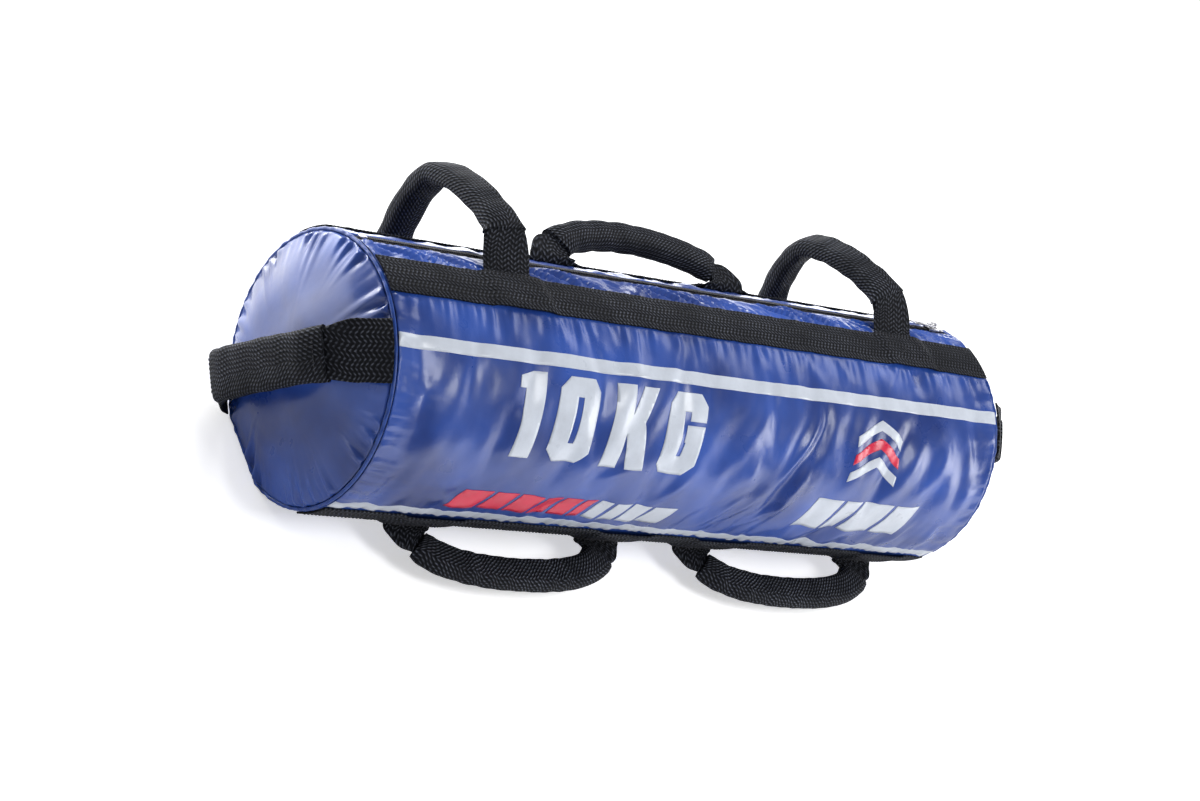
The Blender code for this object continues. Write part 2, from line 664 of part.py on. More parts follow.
def make_zip_slider(paint, bag):
    x = COIL_HALF_LENGTH - SLIDER_PARK_GAP - SLIDER_LENGTH / 2
    ceiling = ZIP_COIL_PROUD + CLEARANCE
    top = ceiling + SLIDER_PLATE
    inner = ZIP_COIL_HALF_GAP + ZIP_COIL_WIDTH + CLEARANCE
    outer = SLIDER_HALF_WIDTH
    floor = -SLIDER_FLANGE_DEPTH
    profile = ((-outer, floor), (-inner, floor), (-inner, ceiling), (inner, ceiling),
               (inner, floor), (outer, floor), (outer, top), (-outer, top))
    pivot = zip_point(x, 0, top + CROWN_HOLE_HEIGHT / 2)
    mount = add_empty("zip_slider_mount", pivot, bag)
    rings = []
    for end in (-SLIDER_LENGTH / 2, SLIDER_LENGTH / 2):
        rings.append([zip_point(x + end, across, height) for across, height in profile])
    slider = skin("zip_slider", rings, paint["zip_metal"], mount, pivot, smooth=False)

    half = CROWN_LENGTH / 2
    sunk = top - SLIDER_PLATE / 2
    eave = top + CROWN_HOLE_HEIGHT
    ridge = eave + CROWN_WALL
    arch = ((-half, sunk), (-half + CROWN_WALL, sunk), (-half + CROWN_WALL, eave),
            (half - CROWN_WALL, eave), (half - CROWN_WALL, sunk), (half, sunk),
            (half, eave), (half - CROWN_WALL, ridge), (-half + CROWN_WALL, ridge), (-half, eave))
    rings = []
    for across in (-CROWN_WIDTH / 2, CROWN_WIDTH / 2):
        rings.append([zip_point(x + along, across, height) for along, height in arch])
    crown = skin("slider_crown_tool", rings, paint["zip_metal"], mount, pivot, smooth=False)
    crown.hide_render = True
    crown.display_type = "WIRE"
    union = slider.modifiers.new("crown", "BOOLEAN")
    union.operation = "UNION"
    union.solver = "EXACT"
    union.object = crown

    height = top + CROWN_HOLE_HEIGHT / 2
    tip = -PULL_LENGTH
    bar = PULL_BAR / 2
    plate = ((bar, -PULL_WIDTH / 2), (bar, PULL_WIDTH / 2), (tip, PULL_WIDTH / 2), (tip, -PULL_WIDTH / 2))
    eye_start = -bar
    eye_end = -bar - PULL_EYE_LENGTH
    eye = ((eye_start, -PULL_EYE_WIDTH / 2), (eye_start, PULL_EYE_WIDTH / 2),
           (eye_end, PULL_EYE_WIDTH / 2), (eye_end, -PULL_EYE_WIDTH / 2))
    rings = []
    for outline, level in ((plate, 1), (plate, -1), (eye, -1), (eye, 1)):
        lift = level * PULL_THICKNESS / 2
        rings.append([zip_point(x + along, across, height + lift) for along, across in outline])
    skin("zip_pull", rings, paint["zip_metal"], mount, pivot, wrap=True, smooth=False)


def make_filling(paint, bag):
    inner_face = HALF_LENGTH - PANEL_THICKNESS - 2 * CLEARANCE - END_PAD_THICKNESS
    circle = full_circle()
    outer, bore = [], []
    for x in (-inner_face, inner_face):
        outer.append([bag_point(x, a, shell_radius(a, ZIP_STACK)) for a in circle])
        bore.append([bag_point(x, a, SAND_BAG_RADIUS + CLEARANCE) for a in circle])
    skin("padding_sleeve", outer + bore[::-1], paint["padding"], bag, wrap=True)

    angles = [360 * i / SAND_BAG_SIDES for i in range(SAND_BAG_SIDES)]
    closed_end = -inner_face + CLEARANCE
    open_end = inner_face - CLOSURE_HEAD_ROOM - CLOSURE_LENGTH - CLEARANCE
    profile = [(closed_end + depth * SAND_BAG_RADIUS, share) for share, depth in SAND_END_SHARES]
    profile += [(open_end - depth * SAND_BAG_RADIUS, share) for share, depth in SAND_END_SHARES[::-1]]
    rings = [[bag_point(x, a, share * SAND_BAG_RADIUS) for a in angles] for x, share in profile]
    skin("sand_bag", rings, paint["liner"], bag)

    rings = []
    for x in (open_end + CLEARANCE, open_end + CLEARANCE + CLOSURE_LENGTH):
        across = Vector((0, 1, 0))
        through = Vector((0, 0, 1))
        rings.append(rounded(Vector((x, 0, 0)), across, through, CLOSURE_WIDTH, CLOSURE_THICKNESS))
    skin("sand_bag_closure", rings, paint["webbing"], bag)


def build():
    clear_scene()
    paint = make_materials()
    bag = add_empty("bag_axis", Vector((0, 0, AXIS_HEIGHT)))
    bag.rotation_euler = (-radians(BAG_ROLL_DEGREES), 0, 0)
    make_panels(paint, bag)
    make_ends(paint, bag)
    make_strips(paint, bag)
    make_stripes(paint, bag)
    make_zip_track(paint, bag)
    make_zip_slider(paint, bag)
    make_filling(paint, bag)
    make_arch("left", ARCH_LEFT_X, ARCH_LEFT_LEAN_DEGREES, paint, bag)
    make_arch("right", ARCH_RIGHT_X, ARCH_RIGHT_LEAN_DEGREES, paint, bag)
    for name, x in (("lower_handle_left", LOWER_LEFT_X), ("lower_handle_right", LOWER_RIGHT_X)):
        make_loop(name, x, LOWER_HALF_SPAN, LOWER_REACH, LOWER_CROWN_SPAN_SHARE, "bottom",
                  LOWER_LEAN_DEGREES, paint, bag)
    make_loop("top_handle", TOP_HANDLE_X, TOP_HALF_SPAN, TOP_REACH, TOP_CROWN_SPAN_SHARE, "top",
              TOP_LEAN_DEGREES, paint, bag)
    make_end_handle(-1, "left", END_LEFT_GRIP_RISE, paint, bag)
    make_end_handle(1, "right", END_RIGHT_GRIP_RISE, paint, bag)


build()
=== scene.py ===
import math
import random

import bmesh
import bpy
import numpy as np
from mathutils import Matrix, Vector


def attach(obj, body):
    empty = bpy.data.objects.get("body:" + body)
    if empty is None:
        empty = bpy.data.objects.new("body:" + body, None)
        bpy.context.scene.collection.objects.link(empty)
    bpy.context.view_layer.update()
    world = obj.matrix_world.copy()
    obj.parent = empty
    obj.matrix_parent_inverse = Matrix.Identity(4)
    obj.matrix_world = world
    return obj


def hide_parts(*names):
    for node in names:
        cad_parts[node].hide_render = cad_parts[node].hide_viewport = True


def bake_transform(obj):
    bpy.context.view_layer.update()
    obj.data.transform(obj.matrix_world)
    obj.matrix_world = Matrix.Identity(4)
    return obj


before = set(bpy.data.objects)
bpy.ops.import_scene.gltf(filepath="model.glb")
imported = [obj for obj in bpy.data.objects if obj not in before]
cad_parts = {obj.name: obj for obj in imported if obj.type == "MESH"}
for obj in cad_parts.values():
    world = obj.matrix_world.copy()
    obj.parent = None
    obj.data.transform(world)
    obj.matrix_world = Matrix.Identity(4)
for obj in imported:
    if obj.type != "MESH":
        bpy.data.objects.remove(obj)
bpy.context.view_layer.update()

scene = bpy.context.scene

# The bag's own sizes, as in the CAD source. Angles go round the bag: 0 is the printed front,
# 90 the top handle
bag = {
    "halfLength": 0.357, "shellHalf": 0.3537, "radius": 0.115, "flatHalf": 0.035, "roll": 58.0,
    "bulge": 0.022, "rimInset": 0.0033, "clearance": 0.0003,
    "stripWidth": 0.038, "stripThickness": 0.0018,
    "strips": {"front": 34.4, "top": 90.0, "rear": 145.6, "bottom": -90.0},
    "zip": 61.0, "slitHalf": 0.0056,
}
axisHeight = math.sqrt(bag["radius"] ** 2 - bag["flatHalf"] ** 2)
flatAngle = -90 - bag["roll"]
flatHalfAngle = math.degrees(math.acos(axisHeight / bag["radius"]))
rollCos, rollSin = math.cos(math.radians(bag["roll"])), math.sin(math.radians(bag["roll"]))


def arc(width):
    # The angle that a width takes on the bag
    return math.degrees(width / bag["radius"])


stripHalfAngle, slitHalfAngle = arc(bag["stripWidth"]) / 2, arc(bag["slitHalf"])


def angleFrom(angles, middle):
    # The signed angle from the middle, the short way round
    return (angles - middle + 180) % 360 - 180


def angleApart(angles, middle):
    return np.abs(angleFrom(angles, middle))


def toWorld(points):
    # From the bag's own frame, with the top handle up, to the bag as it lies on the floor
    points = np.asarray(points, float)
    y, z = points[..., 1], points[..., 2]
    return np.stack((points[..., 0], y * rollCos + z * rollSin, z * rollCos - y * rollSin + axisHeight), -1)


def toWorldVector(vector):
    x, y, z = vector
    return Vector((x, y * rollCos + z * rollSin, z * rollCos - y * rollSin))


def shellRadius(angles, inset=0.0):
    offset = angleApart(np.asarray(angles, float), flatAngle)
    flat = (axisHeight - inset) / np.cos(np.radians(np.minimum(offset, flatHalfAngle)))
    return np.minimum(bag["radius"] - inset, flat)


def ringPoint(x, angles, radii):
    x, angles, radii = np.broadcast_arrays(x, angles, radii)
    return np.stack((x, -radii * np.cos(np.radians(angles)), radii * np.sin(np.radians(angles))), -1)


# Fabric shell: one cloth over the filling, held at the strips, the zip and the two rims
shell = {
    "columns": 118, "rows": 140,
    "excessLength": 0.03, "excessGirth": 0.004, "zipShear": 0.009,
    "frames": 24, "drawIn": 10, "pressure": 40.0, "bending": 1.0,
    "quality": 6, "mass": 0.2, "stiffness": 18.0, "damping": 5.0, "air": 1.0,
    "noise": 0.0003, "seed": 7, "out": 0.0055, "in": -0.0032, "slide": 0.004, "keep": 0.72,
}


def addObject(name, data):
    obj = bpy.data.objects.new(name, data)
    scene.collection.objects.link(obj)
    return obj


def bmObject(name, bm):
    mesh = bpy.data.meshes.new(name)
    bm.to_mesh(mesh)
    bm.free()
    return addObject(name, mesh)


def pointsOf(mesh):
    found = np.zeros(len(mesh.vertices) * 3)
    mesh.vertices.foreach_get("co", found)
    return found.reshape(-1, 3)


def gridMesh(name, columns, rows):
    # A flat grid whose vertices come back as whole column and row numbers
    bm = bmesh.new()
    bmesh.ops.create_grid(bm, x_segments=columns, y_segments=rows, size=1)
    obj = bmObject(name, bm)
    flat = pointsOf(obj.data)
    column = np.rint((flat[:, 0] + 1) / 2 * columns).astype(int)
    row = np.rint((flat[:, 1] + 1) / 2 * rows).astype(int)
    return obj, column, row


def setPoints(mesh, points):
    mesh.vertices.foreach_set("co", np.ascontiguousarray(points, dtype=np.float32).ravel())
    mesh.update()


def sewIn(obj, start, drawIn, held):
    # The mesh is the cloth as cut. A shape key draws its held points in to where they are sewn
    obj.shape_key_add(name="cut")
    key = obj.shape_key_add(name="sewn")
    key.data.foreach_set("co", start.ravel())
    for step, value in ((1, 0), (drawIn, 1)):
        key.value = value
        key.keyframe_insert("value", frame=step)
    group = obj.vertex_groups.new(name="held")
    for index in np.nonzero(held)[0]:
        group.add([int(index)], 1.0, "REPLACE")


def shellMesh():
    columns, rows = shell["columns"], shell["rows"]
    obj, column, row = gridMesh("clothShell", columns, rows)
    xs = -bag["shellHalf"] + 2 * bag["shellHalf"] * column / columns
    angles = -90 + 360.0 * row / rows
    start = ringPoint(xs, angles, shellRadius(angles))
    draw = np.random.default_rng(shell["seed"])
    held = np.zeros(len(xs))
    for middle in bag["strips"].values():
        held[angleApart(angles, middle) < stripHalfAngle + 0.6] = 1
    held[angleApart(angles, bag["zip"]) < slitHalfAngle + 1.2] = 1
    held[angleApart(angles, flatAngle) < flatHalfAngle + 1.5] = 1
    held[(column == 0) | (column == columns)] = 1
    radial = ringPoint(0 * xs, angles, 1)
    nudge = draw.normal(0, shell["noise"], len(xs)) * (1 - held)
    # The cloth starts as it is cut, a little longer and wider than the bag and skewed along the zip,
    # and its held lines then draw it in to the bag's size
    skew = shell["zipShear"] * np.clip(1 - angleApart(angles, bag["zip"]) / 26, 0, 1)
    cut = ringPoint(xs * (1 + shell["excessLength"]) + skew, angles,
                    shellRadius(angles) * (1 + shell["excessGirth"]))
    setPoints(obj.data, cut + radial * nudge[:, None])
    sewIn(obj, start, shell["drawIn"], held)
    return obj, column, row, xs, angles, start, held


def runCloth(obj, frames, pressure, bending):
    cloth = obj.modifiers.new("cloth", "CLOTH")
    put = cloth.settings
    put.quality = shell["quality"]
    put.mass = shell["mass"]
    put.tension_stiffness = put.compression_stiffness = shell["stiffness"]
    put.shear_stiffness = shell["stiffness"] / 4
    put.bending_stiffness = bending
    put.tension_damping = put.compression_damping = put.shear_damping = shell["damping"]
    put.air_damping = shell["air"]
    put.vertex_group_mass = "held"
    put.pin_stiffness = 1
    put.use_pressure = True
    put.uniform_pressure_force = pressure
    put.effector_weights.gravity = 0
    cloth.collision_settings.use_collision = False
    cloth.point_cache.frame_end = frames
    for step in range(1, frames + 1):
        scene.frame_set(step)
    found = pointsOf(obj.evaluated_get(bpy.context.evaluated_depsgraph_get()).to_mesh())
    scene.frame_set(1)
    return found


def softened(field, times):
    # Takes the zigzag of single cells out of a grid of values
    for _ in range(times):
        for axis in (0, 1):
            wide = np.concatenate((field.take([0], axis), field, field.take([-1], axis)), axis)
            count = field.shape[axis]
            before, after = wide.take(range(count), axis), wide.take(range(2, count + 2), axis)
            field = before / 4 + field / 2 + after / 4
    return field


def simulateShell():
    # How far the cloth moved, as length, round and outward parts on a grid of columns and rows
    obj, column, row, xs, angles, start, held = shellMesh()
    moved = np.zeros_like(start)
    moved = (runCloth(obj, shell["frames"], shell["pressure"], shell["bending"]) - start) * shell["keep"]
    outward = ringPoint(0 * xs, angles, 1)
    onward = np.stack((0 * xs, outward[:, 2], -outward[:, 1]), -1)
    out = np.clip((moved * outward).sum(1), shell["in"], shell["out"])
    side = np.clip((moved * onward).sum(1), -shell["slide"], shell["slide"])
    along = np.clip(moved[:, 0], -shell["slide"], shell["slide"])
    field = np.zeros((shell["columns"] + 1, shell["rows"] + 1, 3))
    field[column, row] = np.stack((along, side, out), -1) * (1 - held)[:, None]
    bpy.data.objects.remove(obj)
    return softened(field, 1)


shellField = simulateShell()
print("shell cloth", shellField[..., 2].min(), shellField[..., 2].max(), shellField[..., 2].std())


def smoothLookup(field, u, v):
    # Catmull-Rom lookup in a grid of values, with u and v in cells
    columns, rows = field.shape[0] - 1, field.shape[1] - 1
    u, v = np.clip(u, 0, columns), np.clip(v, 0, rows)
    i, j = np.minimum(u.astype(int), columns - 1), np.minimum(v.astype(int), rows - 1)

    def weights(f):
        return (-0.5 * f + f ** 2 - 0.5 * f ** 3, 1 - 2.5 * f ** 2 + 1.5 * f ** 3,
                0.5 * f + 2 * f ** 2 - 1.5 * f ** 3, -0.5 * f ** 2 + 0.5 * f ** 3)

    total = 0
    for a, across in enumerate(weights(u - i)):
        for b, up in enumerate(weights(v - j)):
            cell = field[np.clip(i + a - 1, 0, columns), np.clip(j + b - 1, 0, rows)]
            total = total + cell * (across * up)[..., None]
    return total


# Small gathers that the cloth run is too coarse for, at the strips' stitch lines and at the rims
gathers = {
    "seed": 21, "waves": 9, "seam": 0.0016, "leastReach": 0.002, "fall": 1.3, "flatEdge": 8,
    # "wander" is how much the reach changes, and over which length
    "strip": {"height": 0.0010, "reach": 0.0105, "wander": (0.55, 0.05), "pitch": 0.0092,
              "slant": 0.12, "steep": 1.5},
    "rim": {"height": 0.0012, "reach": 0.018, "wander": (0.5, 0.07), "pitch": 0.0120,
            "slant": 0.10, "steep": 1.4},
}


def waveSet(seed, pitch, count):
    # A few sine waves of near pitch, with amounts that add up to about one
    draw = random.Random(seed)
    return [(2 * math.pi / (pitch * draw.uniform(0.62, 1.9)), draw.uniform(0, 6.28), draw.uniform(0.5, 1))
            for _ in range(count)]


def waveSum(waves, where):
    total = sum(amount * np.sin(pace * where + phase) for pace, phase, amount in waves)
    return total / math.sqrt(sum(amount ** 2 for _, _, amount in waves) / 2) / 1.6


def fade(distance, reach):
    # Starts at nothing on the seam, is full just beside it and dies away over the reach
    distance, reach = np.maximum(distance, 0), np.maximum(reach, gathers["leastReach"])
    return (1 - np.exp(-distance / gathers["seam"])) * np.exp(-(distance / reach) ** gathers["fall"])


def ridgesBeside(look, seed, along, apart):
    # Short ridges that stand off a seam, from how far along it and how far from it the cloth lies
    amount, length = look["wander"]
    reach = look["reach"] * (1 + amount * waveSum(waveSet(seed + 5, length, 5), along))
    ridge = waveSum(waveSet(seed, look["pitch"], gathers["waves"]), along + look["slant"] * apart)
    return look["height"] * np.tanh(ridge * look["steep"]) * fade(apart, reach)


def gatherHeight(xs, angles):
    total = np.zeros(np.broadcast(xs, angles).shape)
    for index, middle in enumerate(sorted(bag["strips"].values())):
        for side in (-1, 1):
            seed = gathers["seed"] + 10 * index + side
            apart = (side * angleFrom(angles, middle) - stripHalfAngle) * math.radians(1) * bag["radius"]
            total = total + ridgesBeside(gathers["strip"], seed, xs, apart) * (apart > 0)
    around = np.radians(angles) * bag["radius"]
    for side in (-1, 1):
        seed = gathers["seed"] + 100 + side
        total = total + ridgesBeside(gathers["rim"], seed, around, bag["shellHalf"] - side * xs)
    # None where the bag is pressed flat on the floor
    return total * np.clip((angleApart(angles, flatAngle) - flatHalfAngle) / gathers["flatEdge"], 0, 1)


# Folds listed one by one: length along and angle round the bag at three points, then width and height
folds = {
    "free": (
        (-0.317, -55, -0.300, -33, -0.270, -10, 0.017, 0.0019),
        (-0.257, -46, -0.254, -27, -0.250, -10, 0.009, 0.0010),
        (0.098, -62, 0.108, -40, 0.133, -20, 0.0065, 0.0021),
        (0.086, -38, 0.101, -20, 0.122, -4, 0.0055, 0.0016),
        (0.104, -31, 0.116, -17, 0.138, -2, 0.0065, -0.0014),
        (0.022, -36, 0.041, -14, 0.072, 4, 0.010, 0.0014),
        (0.030, -69, 0.044, -53, 0.080, -41, 0.0055, 0.0019),
        (0.264, 2, 0.292, -22, 0.305, -55, 0.013, 0.0015),
        (0.306, 2, 0.325, -21, 0.328, -52, 0.010, 0.0014),
        (0.287, -49, 0.277, -62, 0.272, -73, 0.005, 0.0014),
        (0.316, -50, 0.319, -60, 0.321, -70, 0.005, 0.0012),
        (-0.062, -59, -0.033, -48, -0.012, -31, 0.006, 0.0013),
        (-0.231, -40, -0.228, -28, -0.226, -17, 0.010, 0.0011),
        (-0.124, -46, -0.100, -40, -0.078, -36, 0.006, 0.0009),
        (-0.278, -63, -0.250, -66, -0.220, -68, 0.006, 0.0011),
        (0.042, -63, 0.058, -53, 0.077, -44, 0.004, 0.0015),
        (0.071, -66, 0.092, -55, 0.116, -45, 0.004, 0.0015),
        (-0.340, -20, -0.322, -14, -0.300, 2, 0.008, 0.0011),
        (-0.170, -66, -0.120, -60, -0.075, -62, 0.009, -0.0011),
        (0.150, -8, 0.176, -28, 0.186, -50, 0.012, 0.0010),
        (0.205, -58, 0.222, -44, 0.246, -30, 0.008, 0.0011),
    ),
    "sewn": (
        (-0.249, 26, -0.253, 18, -0.261, 8, 0.0045, 0.0015),
        (-0.232, 26, -0.238, 16, -0.246, 5, 0.0045, 0.0012),
        (-0.203, 26, -0.208, 18, -0.215, 9, 0.0045, 0.0012),
        (-0.185, 26, -0.184, 19, -0.183, 11, 0.0040, 0.0013),
        (-0.162, 26, -0.161, 19, -0.159, 11, 0.0040, 0.0013),
        (-0.148, 26, -0.147, 18, -0.145, 10, 0.0040, 0.0012),
        (-0.127, 26, -0.126, 19, -0.124, 12, 0.0040, 0.0012),
        (-0.093, 26, -0.096, 18, -0.102, 9, 0.0045, 0.0013),
        (-0.050, 26, -0.054, 14, -0.073, -2, 0.0065, 0.0026),
        (0.012, 26, 0.008, 18, 0.000, 10, 0.0050, 0.0011),
        (0.047, 26, 0.046, 18, 0.042, 8, 0.0050, 0.0014),
        (0.105, 26, 0.112, 17, 0.124, 6, 0.0055, 0.0013),
        (0.150, 26, 0.154, 18, 0.160, 11, 0.0045, 0.0012),
        (0.229, 26, 0.216, 17, 0.201, 5, 0.0055, 0.0019),
        (0.243, 26, 0.245, 18, 0.249, 9, 0.0045, 0.0013),
        (0.286, 26, 0.288, 18, 0.292, 8, 0.0050, 0.0014),
        (0.318, 26, 0.322, 18, 0.330, 7, 0.0050, 0.0014),
    ),
    "seam": 0.0035,
    "zipHeight": 0.0038, "zipPitch": 0.0145, "zipLean": 1.7, "zipDepth": (0.55, 0.45), "zipSteep": 2.0,
    # Broad creases that cross the panels on the slant: height, pitch and slant of each
    "creases": ((0.0015, 0.046, 0.39), (0.0005, 0.026, 0.20)), "creaseSpan": 0.075, "deepen": 1.3,
}


def foldLine(x, y, line, sewn):
    # A ridge with a hollow along one side, which dies away at its free ends
    x0, a0, x1, a1, x2, a2, width, height = line
    places = np.array(((x0, a0), (x1, a1), (x2, a2))) * (1, math.radians(1) * bag["radius"])
    t = np.linspace(0, 1, 15)[:, None]
    middle = 2 * places[1] - (places[0] + places[2]) / 2
    path = (1 - t) ** 2 * places[0] + 2 * t * (1 - t) * middle + t ** 2 * places[2]
    low, high = path.min(0) - 4.5 * width, path.max(0) + 4.5 * width
    total = np.zeros(x.shape)
    near = (x > low[0]) & (x < high[0]) & (y > low[1]) & (y < high[1])
    if not near.any():
        return total
    step = np.diff(path, axis=0)
    away = np.stack((x[near], y[near]), -1)[:, None] - path[:-1]
    share = np.clip((away * step).sum(-1) / (step * step).sum(-1), 0, 1)
    off = away - share[..., None] * step
    nearest = (off ** 2).sum(-1).argmin(1)
    pick = np.arange(len(nearest)), nearest
    side = np.sign(step[nearest, 0] * away[pick][:, 1] - step[nearest, 1] * away[pick][:, 0])
    run = (nearest + share[pick]) / len(step)
    wide = width * (0.7 + 0.6 * run)
    apart = side * np.sqrt((off[pick] ** 2).sum(-1)) / wide
    end = (1 - run) ** 0.8 if sewn else np.sin(math.pi * np.clip(run, 0, 1)) ** 0.8
    hollow = 0.6 * np.exp(-((apart - 1.9) / 1.3) ** 2)
    total[near] = folds["deepen"] * height * end * (np.exp(-apart ** 2) - hollow)
    return total


def foldHeight(xs, angles):
    angles = angleFrom(angles, 0)
    y = angles * math.radians(1) * bag["radius"]
    total = np.zeros(np.broadcast(xs, y).shape)
    for sewn, key in ((False, "free"), (True, "sewn")):
        for line in folds[key]:
            total = total + foldLine(xs, y, line, sewn)
    for index, (height, pitch, slant) in enumerate(folds["creases"]):
        straight = math.sqrt(1 - slant ** 2)
        across = waveSum(waveSet(91 + 2 * index, pitch, 7), straight * xs - slant * y)
        along = waveSum(waveSet(92 + 2 * index, folds["creaseSpan"], 5), slant * xs + straight * y)
        total = total + height * across * (0.5 + 0.5 * along)
    apart = angleApart(angles, bag["zip"]) - slitHalfAngle
    for middle in bag["strips"].values():
        apart = np.minimum(apart, angleApart(angles, middle) - stripHalfAngle)
    # Between the front strip and the zip the cloth is drawn into slanting pleats
    low, high = bag["strips"]["front"] + stripHalfAngle, bag["zip"] - slitHalfAngle
    share = np.clip((angles - low) / (high - low), 0, 1)
    slid = xs + folds["zipLean"] * (y - low * math.radians(1) * bag["radius"])
    pleat = waveSum(waveSet(77, folds["zipPitch"], 8), slid)
    least, more = folds["zipDepth"]
    deep = least + more * waveSum(waveSet(78, 0.09, 5), slid)
    total = total + folds["zipHeight"] * deep * np.tanh(folds["zipSteep"] * pleat) * \
        np.sin(math.pi * share) ** 0.7 * ((share > 0) & (share < 1))
    apart = np.minimum(apart, angleApart(angles, flatAngle) - flatHalfAngle - 2)
    reach = np.minimum(np.maximum(apart, 0) * math.radians(1) * bag["radius"], bag["shellHalf"] - np.abs(xs))
    return total * (1 - np.exp(-(np.maximum(reach, 0) / folds["seam"]) ** 1.4))


def clothPoints(xs, angles, lift=0.0, fine=True):
    xs, angles = np.broadcast_arrays(np.asarray(xs, float), np.asarray(angles, float))
    u = (xs + bag["shellHalf"]) / (2 * bag["shellHalf"]) * shell["columns"]
    move = smoothLookup(shellField, u, ((angles + 90) % 360) / 360 * shell["rows"])
    radius = shellRadius(angles) + move[..., 2] + lift
    if fine:
        radius = radius + gatherHeight(xs, angles) + foldHeight(xs, angles)
    return ringPoint(xs + move[..., 0], angles + np.degrees(move[..., 1] / bag["radius"]), radius)


# Shared ways of making a piece
def finishMesh(obj, uv=None, sharp=None, weld=False, caps=False, wall=None):
    # Gives a mesh its cloth coordinates in metres, welds its seam, closes its ends and smooths it
    mesh = obj.data
    if uv is not None:
        layer = mesh.uv_layers.new(name="cloth")
        index = np.zeros(len(mesh.loops), int)
        mesh.loops.foreach_get("vertex_index", index)
        layer.data.foreach_set("uv", np.ascontiguousarray(uv[index], dtype=np.float32).ravel())
    if weld or caps or wall:
        bm = bmesh.new()
        bm.from_mesh(mesh)
        if weld:
            bmesh.ops.remove_doubles(bm, verts=bm.verts, dist=1e-6)
        if caps:
            edges = [edge for edge in bm.edges if edge.is_boundary]
            bmesh.ops.holes_fill(bm, edges=edges, sides=0)
        bmesh.ops.recalc_face_normals(bm, faces=bm.faces)
        if wall:
            bmesh.ops.solidify(bm, geom=bm.faces[:], thickness=wall)
        bm.to_mesh(mesh)
        bm.free()
    mesh.shade_smooth()
    if sharp:
        mesh.set_sharp_from_angle(angle=math.radians(sharp))
    return obj


def dress(obj, slot, body="root", replaces=()):
    # Gives a piece the finish of its slot, the body that it rides on and the nodes that it stands for
    obj.data.materials.append(paint[slot])
    if body:
        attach(obj, body)
    if replaces:
        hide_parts(*replaces)
    return obj


def thicken(obj, thickness, outward=None):
    # Gives a sheet a thickness on its inner side: towards the bag's axis, or away from outward
    bm = bmesh.new()
    bm.from_mesh(obj.data)
    bm.faces.ensure_lookup_table()
    first = bm.faces[0]
    if outward is None:
        outward = first.calc_center_median() - Vector((0, 0, axisHeight))
        outward.x = 0
    if first.normal.dot(outward) < 0:
        bmesh.ops.reverse_faces(bm, faces=bm.faces)
    bmesh.ops.solidify(bm, geom=bm.faces[:], thickness=thickness)
    bm.to_mesh(obj.data)
    bm.free()


def disc(name, rings, sectors):
    # A flat round grid, and the place, the distance from the middle and the angle of its vertices
    bm = bmesh.new()
    verts = [bm.verts.new((i / rings, 0, 0)) for i in range(rings + 1)]
    edges = [bm.edges.new(pair) for pair in zip(verts, verts[1:])]
    bmesh.ops.spin(bm, geom=verts + edges, cent=(0, 0, 0), axis=(0, 0, 1), angle=2 * math.pi, steps=sectors,
                   use_merge=True)
    bmesh.ops.remove_doubles(bm, verts=bm.verts, dist=1e-5)
    obj = bmObject(name, bm)
    flat = pointsOf(obj.data)[:, :2]
    return obj, flat, np.linalg.norm(flat, axis=1), np.degrees(np.arctan2(flat[:, 1], flat[:, 0]))


def runAlong(points):
    # How far along a line each of its points lies
    return np.concatenate(([0], np.cumsum(np.linalg.norm(np.diff(points, axis=0), axis=1))))


def unit(vectors):
    return vectors / np.maximum(np.linalg.norm(vectors, axis=-1, keepdims=True), 1e-12)


def boxSection(widths, depths, corners, crown=0.0):
    # A rounded oblong for each station: 24 points as shares along its width and its depth
    widths, depths, corners = (np.atleast_1d(np.asarray(v, float))[:, None]
                               for v in np.broadcast_arrays(widths, depths, corners))
    corners = np.minimum(corners, np.minimum(widths, depths) / 2)
    turns = [math.radians(t) for t in (8, 32, 58, 82)]
    rows = []
    for quarter in range(4):
        signA, signB = ((1, 1), (-1, 1), (-1, -1), (1, -1))[quarter]
        order = turns if quarter % 2 == 0 else turns[::-1]
        for t in order:
            rows.append((signA * (widths / 2 - corners + corners * math.cos(t)),
                         signB * (depths / 2 - corners + corners * math.sin(t))))
        if quarter in (0, 2):
            for share in (0.66, 0.22, -0.22, -0.66):
                rows.append((signA * share * (widths / 2 - corners), signB * depths / 2))
    a = np.concatenate([r[0] for r in rows], 1)
    b = np.concatenate([r[1] for r in rows], 1)
    b = b + np.sign(b) * crown * (1 - (2 * a / widths) ** 2) * (np.abs(b) > depths / 2 - corners * 0.5)
    return np.stack((a, b), -1)


def sweep(name, centres, across, sections, caps=True, sharp=None, bend=None):
    # Rolls a flat grid into a tube along the centres. Sections hold each ring's points in across and through
    centres = np.asarray(centres, float)
    steps, sides = len(centres) - 1, sections.shape[1]
    ahead = unit(np.gradient(centres, axis=0))
    across = unit(across - ahead * (across * ahead).sum(-1, keepdims=True))
    through = np.cross(ahead, across)
    obj, column, row = gridMesh(name, steps, sides)
    local = sections[column, row % sides]
    points = centres[column] + across[column] * local[:, :1] + through[column] * local[:, 1:]
    if bend:
        points = bend(points)
    setPoints(obj.data, toWorld(points))
    length = runAlong(centres)
    girth = np.cumsum(np.linalg.norm(np.roll(sections, -1, 1) - sections, axis=2), axis=1)
    girth = np.concatenate((np.zeros((steps + 1, 1)), girth), 1)
    girth = girth - girth[:, 5:7].mean(1, keepdims=True)
    uv = np.stack((length[column], girth[column, row]), -1)
    return finishMesh(obj, uv, weld=True, caps=caps, sharp=sharp)


